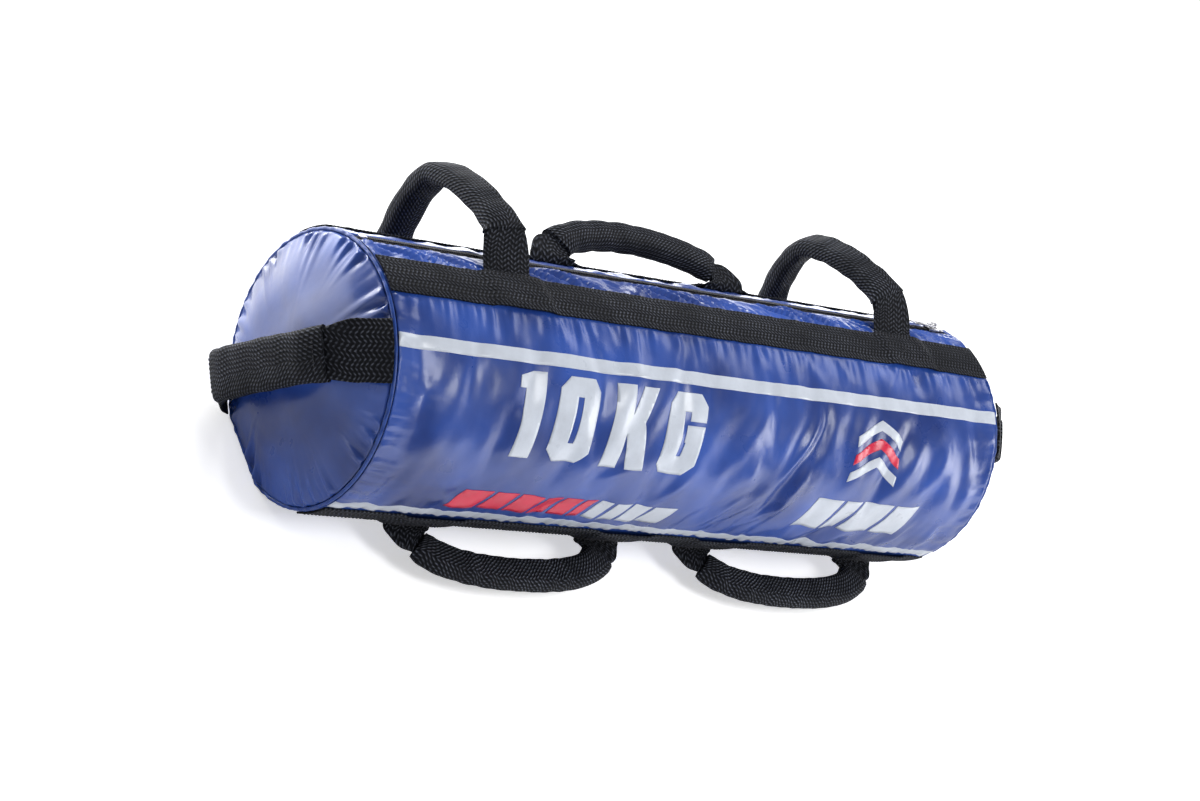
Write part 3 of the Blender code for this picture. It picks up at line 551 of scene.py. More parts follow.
def resample(rows, count):
    # Catmull-Rom through rows of numbers, at even steps of their own length
    rows = np.asarray(rows, float)
    padded = np.concatenate((2 * rows[:1] - rows[1:2], rows, 2 * rows[-1:] - rows[-2:-1]))
    fine = []
    for i in range(len(rows) - 1):
        p0, p1, p2, p3 = padded[i:i + 4]
        for t in np.linspace(0, 1, 24, endpoint=False):
            bend = 2 * p0 - 5 * p1 + 4 * p2 - p3 + t * (3 * (p1 - p2) + p3 - p0)
            fine.append(p1 + 0.5 * t * (p2 - p0 + t * bend))
    fine.append(rows[-1])
    fine = np.array(fine)
    run = runAlong(fine[:, :3])
    even = np.linspace(0, run[-1], count)
    return np.stack([np.interp(even, run, fine[:, k]) for k in range(fine.shape[1])], -1)


def bezierRows(points, steps):
    t = np.linspace(0, 1, steps + 1)[:, None]
    p0, p1, p2, p3 = (np.asarray(p, float) for p in points)
    return (1 - t) ** 3 * p0 + 3 * (1 - t) ** 2 * t * p1 + 3 * (1 - t) * t ** 2 * p2 + t ** 3 * p3


# Finishes
class Paint:
    # A material with a few short ways of adding nodes to it

    def __init__(self, name, colour, roughness, metallic=0.0, coat=0.0, coatRoughness=0.1, specular=0.5):
        self.material = bpy.data.materials.new(name)
        self.material.use_nodes = True
        self.nodes, self.links = self.material.node_tree.nodes, self.material.node_tree.links
        self.shader = self.nodes["Principled BSDF"]
        for socket, value in (("Base Color", (*colour, 1)), ("Roughness", roughness), ("Metallic", metallic),
                              ("Coat Weight", coat), ("Coat Roughness", coatRoughness),
                              ("Specular IOR Level", specular)):
            self.shader.inputs[socket].default_value = value

    def add(self, kind, inputs=(), **settings):
        node = self.nodes.new("ShaderNode" + kind)
        for key, value in settings.items():
            setattr(node, key, value)
        for key, value in dict(inputs).items():
            if isinstance(value, bpy.types.NodeSocket):
                self.links.new(value, node.inputs[key])
            else:
                node.inputs[key].default_value = value
        return node

    def math(self, operation, a, b=0.0):
        return self.add("Math", {0: a, 1: b}, operation=operation).outputs[0]

    def clothPlace(self):
        # The piece's own cloth coordinates, in metres
        return self.add("SeparateXYZ", {0: self.add("UVMap", uv_map="cloth").outputs[0]})

    def noise(self, scale, detail=2.0, roughness=0.5, place=None):
        inputs = {"Scale": scale, "Detail": detail, "Roughness": roughness}
        inputs["Vector"] = place or self.add("TexCoord").outputs["Object"]
        return self.add("TexNoise", inputs).outputs["Fac"]

    def ramp(self, value, low, high, start=0.0, end=1.0):
        return self.add("MapRange", {"Value": value, "From Min": start, "From Max": end,
                                     "To Min": low, "To Max": high}).outputs["Result"]

    def blend(self, amount, first, second):
        node = self.add("Mix", {"Factor": amount, 6: (*first, 1), 7: (*second, 1)}, data_type="RGBA")
        return node.outputs[2]

    def bump(self, height, distance, strength=1.0, onto=None):
        inputs = {"Height": height, "Distance": distance, "Strength": strength}
        if onto:
            inputs["Normal"] = onto
        return self.add("Bump", inputs).outputs["Normal"]

    def set(self, socket, value):
        self.links.new(value, self.shader.inputs[socket])
        return self


fabricLook = {
    "deep": (0.010, 0.034, 0.190), "bright": (0.027, 0.086, 0.405),
    "roughness": (0.25, 0.38), "plainRoughness": 0.26,
    "coat": 0.20, "coatRoughness": 0.14, "specular": 0.42,
    "thread": 0.0011, "threadDepth": 0.00003, "threadStrength": 0.55,
    # Noises as scale, detail and roughness; the first paints random patches of shade and light into the blue
    "paintedShadeMottle": (12.0, 3.0, 0.5), "patches": (26.0, 3.0, 0.5), "small": (120.0, 3.0, 0.5),
    "ripple": (0.0006, 0.25),
}


def coatedFabric():
    look = fabricLook
    p = Paint("coatedFabric", look["bright"], look["plainRoughness"], coat=look["coat"],
              coatRoughness=look["coatRoughness"], specular=look["specular"])
    place = p.clothPlace()
    pace = 2 * math.pi / look["thread"]
    warp, weft = (p.math("SINE", p.math("MULTIPLY", place.outputs[k], pace)) for k in (0, 1))
    paintedShadeMottle, patches, small = (p.noise(*look[key]) for key in ("paintedShadeMottle", "patches", "small"))
    # Painted light and shade: random patches blend the base colour between the deep and the bright blue
    p.set("Base Color", p.blend(p.ramp(paintedShadeMottle, 0, 1, 0.34, 0.66), look["deep"], look["bright"]))
    mottle = p.math("ADD", patches, p.math("MULTIPLY", small, 0.25))
    p.set("Roughness", p.ramp(mottle, *look["roughness"], 0.4, 0.85))
    p.set("Normal", p.bump(p.math("MULTIPLY", warp, weft), look["threadDepth"], look["threadStrength"],
                           p.bump(small, *look["ripple"])))
    return p.material


webbingLook = {"dark": (0.0028, 0.0034, 0.0056), "light": (0.150, 0.165, 0.210), "roughness": 0.7,
               "specular": 0.12, "pickPitch": 0.86, "yarnShare": 0.65, "pickShare": 0.35, "bumpStrength": 0.9}


def wovenBand(name, pitch, ribs, slope, glow, depth):
    # Herringbone: slanted yarns whose slant turns over from one rib to the next, each a row of picks
    look = webbingLook
    p = Paint(name, look["dark"], look["roughness"], specular=look["specular"])
    place = p.clothPlace()
    along, over = place.outputs[0], place.outputs[1]
    slant = p.math("ADD", along, p.math("MULTIPLY", p.math("PINGPONG", over, ribs), slope))
    yarn = p.math("SINE", p.math("MULTIPLY", slant, 2 * math.pi / pitch))
    pick = p.math("SINE", p.math("MULTIPLY", over, 2 * math.pi / (pitch * look["pickPitch"])))
    height = p.math("ADD", p.math("MULTIPLY", yarn, look["yarnShare"]),
                    p.math("MULTIPLY", pick, look["pickShare"]))
    fuzz = p.ramp(p.noise(900.0, 2.0), 0.45, 1.1, 0.3, 0.7)
    patches = p.ramp(p.noise(38.0, 3.0), 0.55, 1.15, 0.35, 0.65)
    # Painted highlight and shade: the yarn tops are coloured towards the light colour and the hollows stay
    # dark, broken up by random fuzz and patches
    tone = p.math("MULTIPLY", p.ramp(height, 0, glow, 0.15, 0.95), p.math("MULTIPLY", fuzz, patches))
    p.set("Base Color", p.blend(tone, look["dark"], look["light"]))
    p.set("Normal", p.bump(height, depth, look["bumpStrength"], p.bump(p.noise(60.0, 2.0), 0.0015, 0.3)))
    return p.material


def printInk(name, colour):
    p = Paint(name, colour, 0.34, coat=0.15, coatRoughness=0.2)
    worn = p.noise(45.0, 6.0, 0.65)
    darker = tuple(c * 0.86 for c in colour)
    p.set("Base Color", p.blend(p.ramp(worn, 0, 1, 0.3, 0.62), darker, colour))
    p.set("Roughness", p.ramp(p.noise(60.0, 3.0), 0.26, 0.44, 0.3, 0.7))
    p.set("Normal", p.bump(p.noise(300.0, 3.0), 0.00015, 0.35))
    return p.material


def plainCloth(name, dark, light, roughness, grain, depth):
    p = Paint(name, light, roughness, specular=0.3)
    p.set("Base Color", p.blend(p.ramp(p.noise(grain, 4.0, 0.65), 0, 1, 0.3, 0.7), dark, light))
    p.set("Normal", p.bump(p.noise(grain * 6, 3.0), depth, 0.5))
    return p.material


def zipMetal():
    p = Paint("zipMetal", (0.33, 0.33, 0.35), 0.3, metallic=1.0)
    p.set("Roughness", p.ramp(p.noise(350.0, 4.0, 0.7), 0.20, 0.46, 0.3, 0.7))
    p.set("Normal", p.bump(p.noise(700.0, 3.0), 0.0002, 0.2))
    return p.material


paint = {
    "coated_fabric": coatedFabric(),
    # Pitch of the yarns, width of a rib, slope of the yarns, how bright the painted highlight on the picks
    # is, and depth
    "webbing": wovenBand("webbing", 0.0042, 0.0064, 0.7, 0.62, 0.0005),
    "grip_webbing": wovenBand("gripWebbing", 0.0040, 0.0500, 1.0, 0.85, 0.0006),
    "print_white": printInk("printWhite", (0.62, 0.67, 0.76)),
    "print_red": printInk("printRed", (0.72, 0.016, 0.065)),
    "piping": plainCloth("seamPiping", (0.012, 0.040, 0.20), (0.026, 0.080, 0.36), 0.35, 160.0, 0.0002),
    "zip_tape": plainCloth("zipTape", (0.004, 0.004, 0.006), (0.016, 0.016, 0.020), 0.8, 500.0, 0.0002),
    "zip_coil": plainCloth("zipCoil", (0.010, 0.010, 0.013), (0.035, 0.035, 0.042), 0.4, 300.0, 0.0001),
    "zip_metal": zipMetal(),
    "padding": plainCloth("padding", (0.22, 0.23, 0.25), (0.42, 0.43, 0.45), 0.95, 90.0, 0.001),
    "liner": plainCloth("liner", (0.12, 0.10, 0.07), (0.24, 0.20, 0.14), 0.6, 60.0, 0.001),
    "stitching": plainCloth("stitching", (0.014, 0.015, 0.020), (0.055, 0.057, 0.070), 0.6, 900.0, 0.0001),
}
print("finishes")


# The four panels of the shell
panels = {
    "pitchAlong": 0.0018, "pitchRound": 0.0026, "wall": 0.0009, "tuck": 0.0032,
    # How much longer and wider than its place the pleated panel is cut
    "fullness": {"upperFrontPanel": 1.08},
    "pieces": (
        ("frontPanel", "front_panel", "bottom", "front"),
        ("upperFrontPanel", "upper_front_panel", "front", "zipFront"),
        ("topPanel", "top_panel", "zipRear", "rear"),
        ("rearPanel", "rear_panel", "rear", "bottom"),
    ),
}
slitEdges = {"zipFront": bag["zip"] - slitHalfAngle, "zipRear": bag["zip"] + slitHalfAngle}


def makePanel(name, node, startAt, endAt):
    edges = {**bag["strips"], **slitEdges}
    start, end = edges[startAt], edges[endAt]
    if end < start:
        end += 360
    gap = arc(bag["clearance"])
    start, end = start + gap, end - gap
    columns = int(2 * bag["shellHalf"] / panels["pitchAlong"])
    width = math.radians(end - start) * bag["radius"]
    rows = int(width / panels["pitchRound"])
    obj, column, row = gridMesh(name, columns, rows)
    xs = -bag["shellHalf"] + 2 * bag["shellHalf"] * column / columns
    angles = start + (end - start) * row / rows
    # The cloth rolls down into the zip's slit, as a lip
    lift = np.zeros(len(xs))
    for at, edge in slitEdges.items():
        if at in (startAt, endAt):
            apart = angleApart(angles, edge) * math.radians(1) * bag["radius"]
            lift = lift - panels["tuck"] * 0.5 * np.clip(1 - apart / panels["tuck"], 0, 1) ** 2
    setPoints(obj.data, toWorld(clothPoints(xs, angles, lift)))
    uv = np.stack((xs, np.radians(angles) * bag["radius"]), -1)
    finishMesh(obj, uv, wall=panels["wall"])
    dress(obj, "coated_fabric", replaces=(node,))


for row in panels["pieces"]:
    makePanel(*row)
print("panels")


# Domed ends: a disc of cloth drawn in at the rim, run as cloth and then gathered finely
ends = {
    "rings": 20, "sectors": 132, "hole": 0.02, "excess": 0.014, "flatter": 0.004, "noise": (0.0004, 0.0003),
    "soften": 6, "slide": 0.004,
    "frames": 18, "drawIn": 9, "pressure": 60.0, "bending": 1.6,
    "fineRings": 60, "fineSectors": 300, "dome": 2.3, "wall": 0.0009, "seeds": {"left": 3, "right": 11},
    "gather": 0.0056, "gatherPitch": 0.0165, "gatherReach": 0.0125, "steep": 1.3,
    "out": 0.006, "in": -0.005, "keep": 0.035,
    "sag": 0.0021, "sagWaves": ((0.080, 0.8, 0.6), (0.065, -0.44, 0.9)),
}


def endPoints(side, share, angles, lift):
    rim = shellRadius(angles, bag["rimInset"])
    x = side * (bag["halfLength"] + bag["bulge"] * (1 - share ** ends["dome"]) + lift)
    return ringPoint(x, angles, share * rim)


def simulateEnd(side, seed):
    obj, column, row = gridMesh("clothEnd", ends["rings"], ends["sectors"])
    share = ends["hole"] + (1 - ends["hole"]) * column / ends["rings"]
    angles = 360 * row / ends["sectors"]
    start = endPoints(side, share, angles, 0)
    outward = np.array([side, 0, 0])
    cut = endPoints(side, share * (1 + ends["excess"] * share), angles, 0)
    cut[:, 0] = start[:, 0] - side * ends["flatter"] * share
    draw = np.random.default_rng(seed)
    broad, fine = ends["noise"]
    bump = draw.normal(0, broad, ends["sectors"])[row % ends["sectors"]] + draw.normal(0, fine, len(row))
    setPoints(obj.data, cut + outward * bump[:, None] * (1 - share)[:, None] * 2)
    sewIn(obj, start, ends["drawIn"], (column == ends["rings"]) | (column == 0))
    moved = np.zeros_like(start)
    moved = runCloth(obj, ends["frames"], ends["pressure"], ends["bending"]) - start
    spin = ringPoint(0 * angles, angles, 1)
    field = np.zeros((ends["rings"] + 1, ends["sectors"] + 1, 2))
    out = np.clip(moved[:, 0] * side, ends["in"], ends["out"])
    slid = np.clip((moved * spin).sum(1), -ends["slide"], ends["slide"])
    field[column, row] = np.stack((out, slid), -1) * ends["keep"]
    field[:, -1] = field[:, 0] = (field[:, -1] + field[:, 0]) / 2
    field[0] = field[1].mean(0)
    field[-1] = 0
    bpy.data.objects.remove(obj)
    return softened(field, ends["soften"])


endFields = {}


def endCloth(side, word, share, angles, lift=0.0):
    field = endFields[word]
    move = smoothLookup(field, np.clip((share - ends["hole"]) / (1 - ends["hole"]), 0, 1) * ends["rings"],
                        (angles % 360) / 360 * ends["sectors"])
    seed = ends["seeds"][word]
    rimWay = np.radians(angles) * bag["radius"]
    apart = (1 - share) * bag["radius"]
    reach = ends["gatherReach"] * (1 + 0.5 * waveSum(waveSet(seed + 1, 0.06, 5), rimWay))
    ridge = waveSum(waveSet(seed, ends["gatherPitch"], 9), rimWay)
    strength = 0.55 + 0.55 * waveSum(waveSet(seed + 4, 0.09, 5), rimWay)
    height = ends["gather"] * strength * np.tanh(ends["steep"] * ridge) * fade(apart, reach)
    flatY, flatZ = (share * turn(np.radians(angles)) * bag["radius"] for turn in (np.cos, np.sin))
    slow = 0
    for index, (pitch, alongY, alongZ) in enumerate(ends["sagWaves"]):
        slow = slow + waveSum(waveSet(seed + 2 + index, pitch, 5), alongY * flatY + alongZ * flatZ)
    height = height + ends["sag"] * slow * (1 - share ** 4)
    points = endPoints(side, share, angles, lift + move[..., 0] + height)
    return points + ringPoint(0 * angles, angles, move[..., 1])


def makeEnd(side, word):
    endFields[word] = simulateEnd(side, ends["seeds"][word])
    name = "endCap" + word.capitalize()
    obj, flat, share, angles = disc(name, ends["fineRings"], ends["fineSectors"])
    setPoints(obj.data, toWorld(endCloth(side, word, share, angles)))
    finishMesh(obj, flat * bag["radius"])
    thicken(obj, ends["wall"], Vector((side, 0, 0)))
    dress(obj, "coated_fabric", replaces=("end_cap_" + word,))


sides = (("left", -1), ("right", 1))
for word, side in sides:
    makeEnd(side, word)
print("ends")


# Seam welt round each end
welt = {"radius": 0.00165, "sides": 10, "steps": 420, "wavePitch": 0.012,
        "inset": 0.0015, "sway": 0.0003, "sink": 0.0016, "rise": 0.00025}


def makeWelt(side, word):
    angles = np.linspace(0, 360, welt["steps"] + 1)
    wave = waveSum(waveSet(50 + side, welt["wavePitch"], 8), np.radians(angles) * bag["radius"])
    wave = wave - (wave[-1] - wave[0]) * angles / 360
    centres = ringPoint(side * (bag["halfLength"] - welt["inset"] + welt["sway"] * wave), angles,
                        shellRadius(angles, welt["sink"]) + welt["rise"] * wave)
    turns = np.arange(welt["sides"]) * 2 * math.pi / welt["sides"]
    section = np.stack((np.cos(turns), np.sin(turns)), -1) * welt["radius"]
    sections = np.repeat(section[None], len(angles), 0)
    acrossX = np.repeat([[1.0, 0, 0]], len(angles), 0)
    obj = sweep("rimPiping" + word.capitalize(), centres, acrossX, sections, caps=False)
    dress(obj, "piping", replaces=("rim_piping_" + word,))


for word, side in sides:
    makeWelt(side, word)


# Webbing strips along the bag, which rise over the handles' feet
strips = {
    "pitch": 0.0022, "rows": 14, "ramp": 0.010, "margin": 0.0012, "footThickness": 0.002,
    "wave": (0.00035, 0.022, 8), "edgeWave": (0.0004, 0.05, 6), "corner": 0.0007,
}
webWidth = 0.049
arches = {"left": {"x": -0.216, "lean": -7.0}, "right": {"x": 0.251, "lean": -20.0}}
loops = {
    "lowerHandleLeft": {"node": "lower_handle_left", "x": -0.135, "halfSpan": 0.130, "reach": 0.0545,
                        "crownSpan": 0.62, "strip": "bottom", "lean": 40.0},
    "lowerHandleRight": {"node": "lower_handle_right", "x": 0.192, "halfSpan": 0.130, "reach": 0.0545,
                         "crownSpan": 0.62, "strip": "bottom", "lean": 40.0},
    "topHandle": {"node": "top_handle", "x": -0.013, "halfSpan": 0.127, "reach": 0.0505, "crownSpan": 0.42,
                  "strip": "top", "lean": 42.0},
}
footShare = 0.62


def footSpans(strip):
    if strip in ("front", "rear"):
        return [(a["x"] - webWidth / 2, a["x"] + webWidth / 2) for a in arches.values()]
    spans = []
    for loop in loops.values():
        if loop["strip"] == strip:
            near, far = loop["halfSpan"] * footShare, loop["halfSpan"]
            spans += [(loop["x"] - far, loop["x"] - near), (loop["x"] + near, loop["x"] + far)]
    return spans


def stripLift(strip, xs):
    # How far a strip is raised where a foot passes under it
    lift = np.zeros_like(xs)
    for low, high in footSpans(strip):
        outside = np.maximum(np.maximum(low - strips["margin"] - xs, xs - high - strips["margin"]), 0)
        share = np.clip(1 - outside / strips["ramp"], 0, 1)
        lift = np.maximum(lift, share * share * (3 - 2 * share))
    return lift * (strips["footThickness"] + bag["clearance"])


def makeStrip(strip, middle):
    columns = int(2 * bag["shellHalf"] / strips["pitch"])
    name = "webStrip" + strip.capitalize()
    xs = np.linspace(-bag["shellHalf"], bag["shellHalf"], columns + 1)
    section = boxSection(bag["stripWidth"], bag["stripThickness"], strips["corner"])[0]
    obj, column, row = gridMesh(name, columns, len(section))
    local = section[row % len(section)]

    (sway, *swayWaves), (rise, *riseWaves) = strips["edgeWave"], strips["wave"]
    wobble = sway * waveSum(waveSet(len(strip) * 7 + 1, *swayWaves), xs)[column]
    angles = middle + arc(1) * (local[:, 0] + wobble)
    wave = rise * waveSum(waveSet(len(strip) * 5 + 2, *riseWaves), xs)[column]
    edgeShare = np.abs(local[:, 0]) / (bag["stripWidth"] / 2)
    lift = bag["clearance"] + bag["stripThickness"] / 2 + stripLift(strip, xs)[column] + local[:, 1] + \
        np.maximum(wave, 0) * edgeShare ** 2
    setPoints(obj.data, toWorld(ringPoint(xs[column], angles, shellRadius(angles) + lift)))
    girth = np.concatenate(([0], np.cumsum(np.linalg.norm(np.roll(section, -1, 0) - section, axis=1))))
    finishMesh(obj, np.stack((xs[column], girth[row]), -1), weld=True, caps=True, sharp=60)
    dress(obj, "webbing", replaces=("web_strip_" + strip,))


for strip, middle in bag["strips"].items():
    makeStrip(strip, middle)
print("strips")


# Printed stripes and marks, which follow the cloth
stripes = {"width": 0.0115, "ink": 0.0003, "lift": 0.00035, "pitch": 0.0022, "markPitch": 0.003,
           "upper": 4.7, "lower": -76.0}


def inkOnCloth(bm, name, slot, replaces=(), pitch=stripes["markPitch"]):
    # Cuts flat shapes, drawn as length along the bag and height round it, finely and lays them on the cloth
    bmesh.ops.triangulate(bm, faces=bm.faces)
    low = [min(v.co[k] for v in bm.verts) for k in (0, 1)]
    high = [max(v.co[k] for v in bm.verts) for k in (0, 1)]
    for k, normal in ((0, (1, 0, 0)), (1, (0, 1, 0))):
        for i in range(1, int((high[k] - low[k]) / pitch) + 1):
            at = [0, 0, 0]
            at[k] = low[k] + i * pitch
            bmesh.ops.bisect_plane(bm, geom=bm.verts[:] + bm.edges[:] + bm.faces[:], plane_co=at,
                                   plane_no=normal)
    bmesh.ops.remove_doubles(bm, verts=bm.verts, dist=1e-6)
    obj = bmObject(name, bm)
    flat = pointsOf(obj.data)[:, :2]
    angles = flat[:, 1] / bag["radius"] * 180 / math.pi
    setPoints(obj.data, toWorld(clothPoints(flat[:, 0], angles, stripes["lift"])))
    finishMesh(obj, flat)
    thicken(obj, stripes["ink"])
    return dress(obj, slot, replaces=replaces)


def heightAt(angle):
    return math.radians(angle) * bag["radius"]


def addOutline(bm, points, x=0.0, y=0.0, slant=0.0):
    verts = [bm.verts.new((x + a + slant * b, y + b, 0)) for a, b in points]
    return bm.faces.new(verts)


def oblong(x0, x1, y0, y1):
    return [(x0, y0), (x1, y0), (x1, y1), (x0, y1)]


for word in ("upper", "lower"):
    middle = heightAt(stripes[word])
    bm = bmesh.new()
    addOutline(bm, oblong(-bag["shellHalf"], bag["shellHalf"], middle - stripes["width"] / 2,
                          middle + stripes["width"] / 2))
    inkOnCloth(bm, "printedStripe" + word.capitalize(), "print_white",
               ("printed_stripe_" + word,), stripes["pitch"])

number = {"foot": -0.0745, "height": 0.0725, "chamfer": 0.0100,
          "signs": (("one", -0.2290, 0.0240, 0.0200), ("zero", -0.1895, 0.0450, 0.0192),
                    ("kay", -0.1280, 0.0490, 0.0190), ("gee", -0.0665, 0.0440, 0.0187)),
          "slant": 0.035, "drop": 0.0016}


def glyphOutlines(sign, w, h, t, c):
    # Block figures of width w and height h, drawn with strokes of width t and corners cut by c
    if sign == "one":
        return [[(w - t, 0), (w, 0), (w, h), (w - t * .66, h), (-.004, h * .935), (-.004, h * .80),
                 (w - t, h * .80)]]
    if sign == "kay":
        return [[(0, 0), (t, 0), (t - .0005, h * .44), (w - .020, 0), (w, 0), (w * .73, h * .58),
                 (w - .002, h), (w - 1.0 * t, h), (t + .002, h * .66), (t, h), (0, h)]]
    left, right = t, w - t * 1.02
    foot, head = h * .235, h * .775
    if sign == "gee":
        return [[(right, h * .67), (w, h * .67), (w, h - c), (w - c * .9, h), (c * .8, h), (0, h - c),
                 (0, c * .8), (c * .8, 0), (w - c, 0), (w, c), (w, h * .62), (right - .002, h * .62),
                 (right - .001, h * .41), (right + .001, h * .41), (right, foot), (left, foot),
                 (left, head), (right, head)]]
    outer = [(c, 0), (w - c, 0), (w, c), (w, h - c), (w - c * .8, h), (c, h), (0, h - c), (0, c)]
    inner = [(left, foot), (right, foot), (right, foot), (right, head), (right, head), (left, head),
             (left, head), (left, foot)]
    return [[outer[i], outer[(i + 1) % 8], inner[(i + 1) % 8], inner[i]] for i in range(8)]


def makeNumber():
    bm = bmesh.new()
    for index, (sign, x, width, stroke) in enumerate(number["signs"]):
        for outline in glyphOutlines(sign, width, number["height"], stroke, number["chamfer"]):
            corners = [point for k, point in enumerate(outline) if point != outline[k - 1]]
            addOutline(bm, corners, x, number["foot"] - number["drop"] * index / 3, number["slant"])
    bmesh.ops.remove_doubles(bm, verts=bm.verts, dist=1e-6)
    inkOnCloth(bm, "printedWeight", "print_white")


makeNumber()

marks = {
    "barFoot": -0.1375, "barHeight": 0.0245, "barSlant": 0.30, "barGap": 0.0042,
    "redBars": (-0.252, (0.030, 0.022, 0.022, 0.018, 0.018, 0.012)),
    "whiteBars": (-0.1045, (0.012, 0.018, 0.018, 0.026)),
    "badge": (0.166, -0.066, 0.062, 0.050), "badgeStroke": 0.0095,
    "blocksFoot": -0.1215, "blocksHeight": 0.036, "blocks": (0.134, (0.032, 0.020, 0.038, 0.032)),
}


def slantedRow(bm, start, widths, foot, height):
    x = start
    for width in widths:
        addOutline(bm, oblong(0, width, 0, height), x, foot, marks["barSlant"])
        x += width + marks["barGap"]


def makeMarks():
    for name, slot, key, foot, height in (
            ("printedBarsRed", "print_red", "redBars", marks["barFoot"], marks["barHeight"]),
            ("printedBarsWhite", "print_white", "whiteBars", marks["barFoot"], marks["barHeight"]),
            ("printedBlocks", "print_white", "blocks", marks["blocksFoot"], marks["blocksHeight"])):
        bm = bmesh.new()
        slantedRow(bm, *marks[key], foot, height)
        inkOnCloth(bm, name, slot)
    x, foot, width, height = marks["badge"]
    t = marks["badgeStroke"]
    for name, slot, levels in (("printedChevronsWhite", "print_white", (0, 2)),
                               ("printedChevronRed", "print_red", (1,))):
        bm = bmesh.new()
        for level in levels:
            y = foot + level * t * 1.75
            addOutline(bm, [(0, 0), (width / 2, height * .34), (width, 0), (width, t),
                            (width / 2, height * .34 + t), (0, t)], x, y)
        inkOnCloth(bm, name, slot)


makeMarks()
print("prints")


# Handles: one strap from foot to foot, which bends at the hinge line, and a grip wrapped round its middle
handleCloth = {"footDepth": 0.0020, "footCorner": 0.0009, "coreDepth": 0.0065, "coreWidth": 0.025,
               "coreCorner": 0.0025, "tuck": 0.013,
               "widthWave": (0.0005, 0.03), "depthWave": (0.05, 0.022), "gripSharp": 70,
               "seamShares": (-0.30, 0.30), "seamStations": (5, -6), "seamReach": 0.68, "seamLift": 0.0009,
               "endSeamLift": 0.0010}
arch = {"halfSpan": 0.079, "gripStart": 0.119, "rise": 0.062, "side": 0.08, "crownSpan": 0.52,
        "crownRise": 0.90, "pivot": 0.1052,
        # "flare" and "thin" are how much wider and thinner the grip is at its ends
        "gripWidth": 0.0325, "gripDepth": 0.0165, "corner": 0.0062, "flare": 0.0125, "thin": 0.0070,
        "leanFrom": 0.090, "blendLow": 0.090, "blendHigh": 0.121, "stations": (150, 110), "crown": 0.0010,
        # From the strip up to the grip: forward, up, width and depth
        "leg": ((0.0795, 0.0895, webWidth, 0.0020), (0.0792, 0.0985, 0.0485, 0.0022),
                (0.0790, 0.1080, 0.0470, 0.0030), (0.0790, 0.1150, 0.0445, 0.0042),
                (0.0790, 0.1215, 0.0390, 0.0058))}
xAxis = np.array([1.0, 0, 0])
footLayer = bag["radius"] + bag["clearance"] + handleCloth["footDepth"] / 2


def handleRow(centre, across, width, depth, corner):
    return (*centre, *across, width, depth, corner)


def sweepRows(name, rows, stations, crown, seed, sharp=None, bend=None):
    rows = resample(rows, stations)
    run = runAlong(rows[:, :3])
    (wide, widePitch), (deep, deepPitch) = handleCloth["widthWave"], handleCloth["depthWave"]
    widths = rows[:, 6] + wide * waveSum(waveSet(seed, widePitch, 7), run)
    depths = rows[:, 7] * (1 + deep * waveSum(waveSet(seed + 1, deepPitch, 7), run))
    sections = boxSection(widths, depths, rows[:, 8], crown)
    return sweep(name, rows[:, :3], rows[:, 3:6], sections, sharp=sharp, bend=bend), rows


thread = {"length": 0.0028, "width": 0.00062, "height": 0.00046, "pitch": 0.0037}
stitchSets = {}


def sewLine(key, points, aways):
    # Stitches at even steps along a line of points in the bag's frame
    points, aways = np.asarray(points, float), np.asarray(aways, float)
    aways = np.broadcast_to(aways, points.shape)
    run = runAlong(points)
    count = max(1, int(run[-1] / thread["pitch"]))
    at = (np.arange(count) + 0.5) * run[-1] / count

    def along(where, values):
        return np.stack([np.interp(where, run, values[:, k]) for k in range(3)], -1)

    ahead = along(np.minimum(at + 0.001, run[-1]), points) - along(np.maximum(at - 0.001, 0), points)
    stitchSets.setdefault(key, []).append((along(at, points), unit(ahead), unit(along(at, aways))))


def addBead(bm, place, axes):
    # A small rounded grain with three half axes
    bmesh.ops.create_icosphere(bm, subdivisions=1, radius=1,
                               matrix=Matrix.Translation(Vector(place)) @ Matrix(axes).transposed().to_4x4())


def makeStitches(name, key, body):
    bm = bmesh.new()
    for place, ahead, away in stitchSets[key]:
        for p, a, n in zip(toWorld(place), ahead, away):
            a, n = toWorldVector(a), toWorldVector(n)
            side = n.cross(a).normalized()
            addBead(bm, p, (a * thread["length"] / 2, side * thread["width"] / 2, n * thread["height"]))
    return dress(finishMesh(bmObject(name, bm)), "stitching", body)


def gripStitches(key, rows, face):
    # Two seams along the grip's face and one round each of its ends
    ahead = unit(np.gradient(rows[:, :3], axis=0))
    across = unit(rows[:, 3:6] - ahead * (rows[:, 3:6] * ahead).sum(-1, keepdims=True))
    through = np.cross(ahead, across)
    depth, width = rows[:, 7:8] / 2, rows[:, 6:7] / 2
    for share in handleCloth["seamShares"]:
        sewLine(key, rows[4:-4, :3] + across[4:-4] * width[4:-4] * share
                + face * through[4:-4] * (depth[4:-4] + handleCloth["seamLift"]), face * through[4:-4])
    for station in handleCloth["seamStations"]:
        reach = np.linspace(-handleCloth["seamReach"], handleCloth["seamReach"], 9)[:, None]
        lift = depth[station] + handleCloth["endSeamLift"]
        for way in (1, -1):
            sewLine(key, rows[station, :3] + across[station] * width[station] * reach
                    + way * through[station] * lift, way * through[station])


def makeHandle(name, node, body, feet, strapRows, gripRows, shape, face, seeds, bend=None):
    # The strap, from foot to foot, gets no body; the grip and its stitches ride the handle's body
    stations = shape["stations"]
    strap, _ = sweepRows(name + "Strap", strapRows, stations[0], 0.0, seeds[0], bend=bend)
    dress(strap, "webbing", None, tuple(node + "_" + part for part in (*feet, "strap")))
    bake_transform(strap)
    wrap, fine = sweepRows(name + "Grip", gripRows, stations[1], shape["crown"], seeds[1],
                           sharp=handleCloth["gripSharp"])
    dress(wrap, "grip_webbing", body, (node + "_grip",))
    gripStitches(name, fine, face)
    makeStitches(name + "Stitches", name, body)


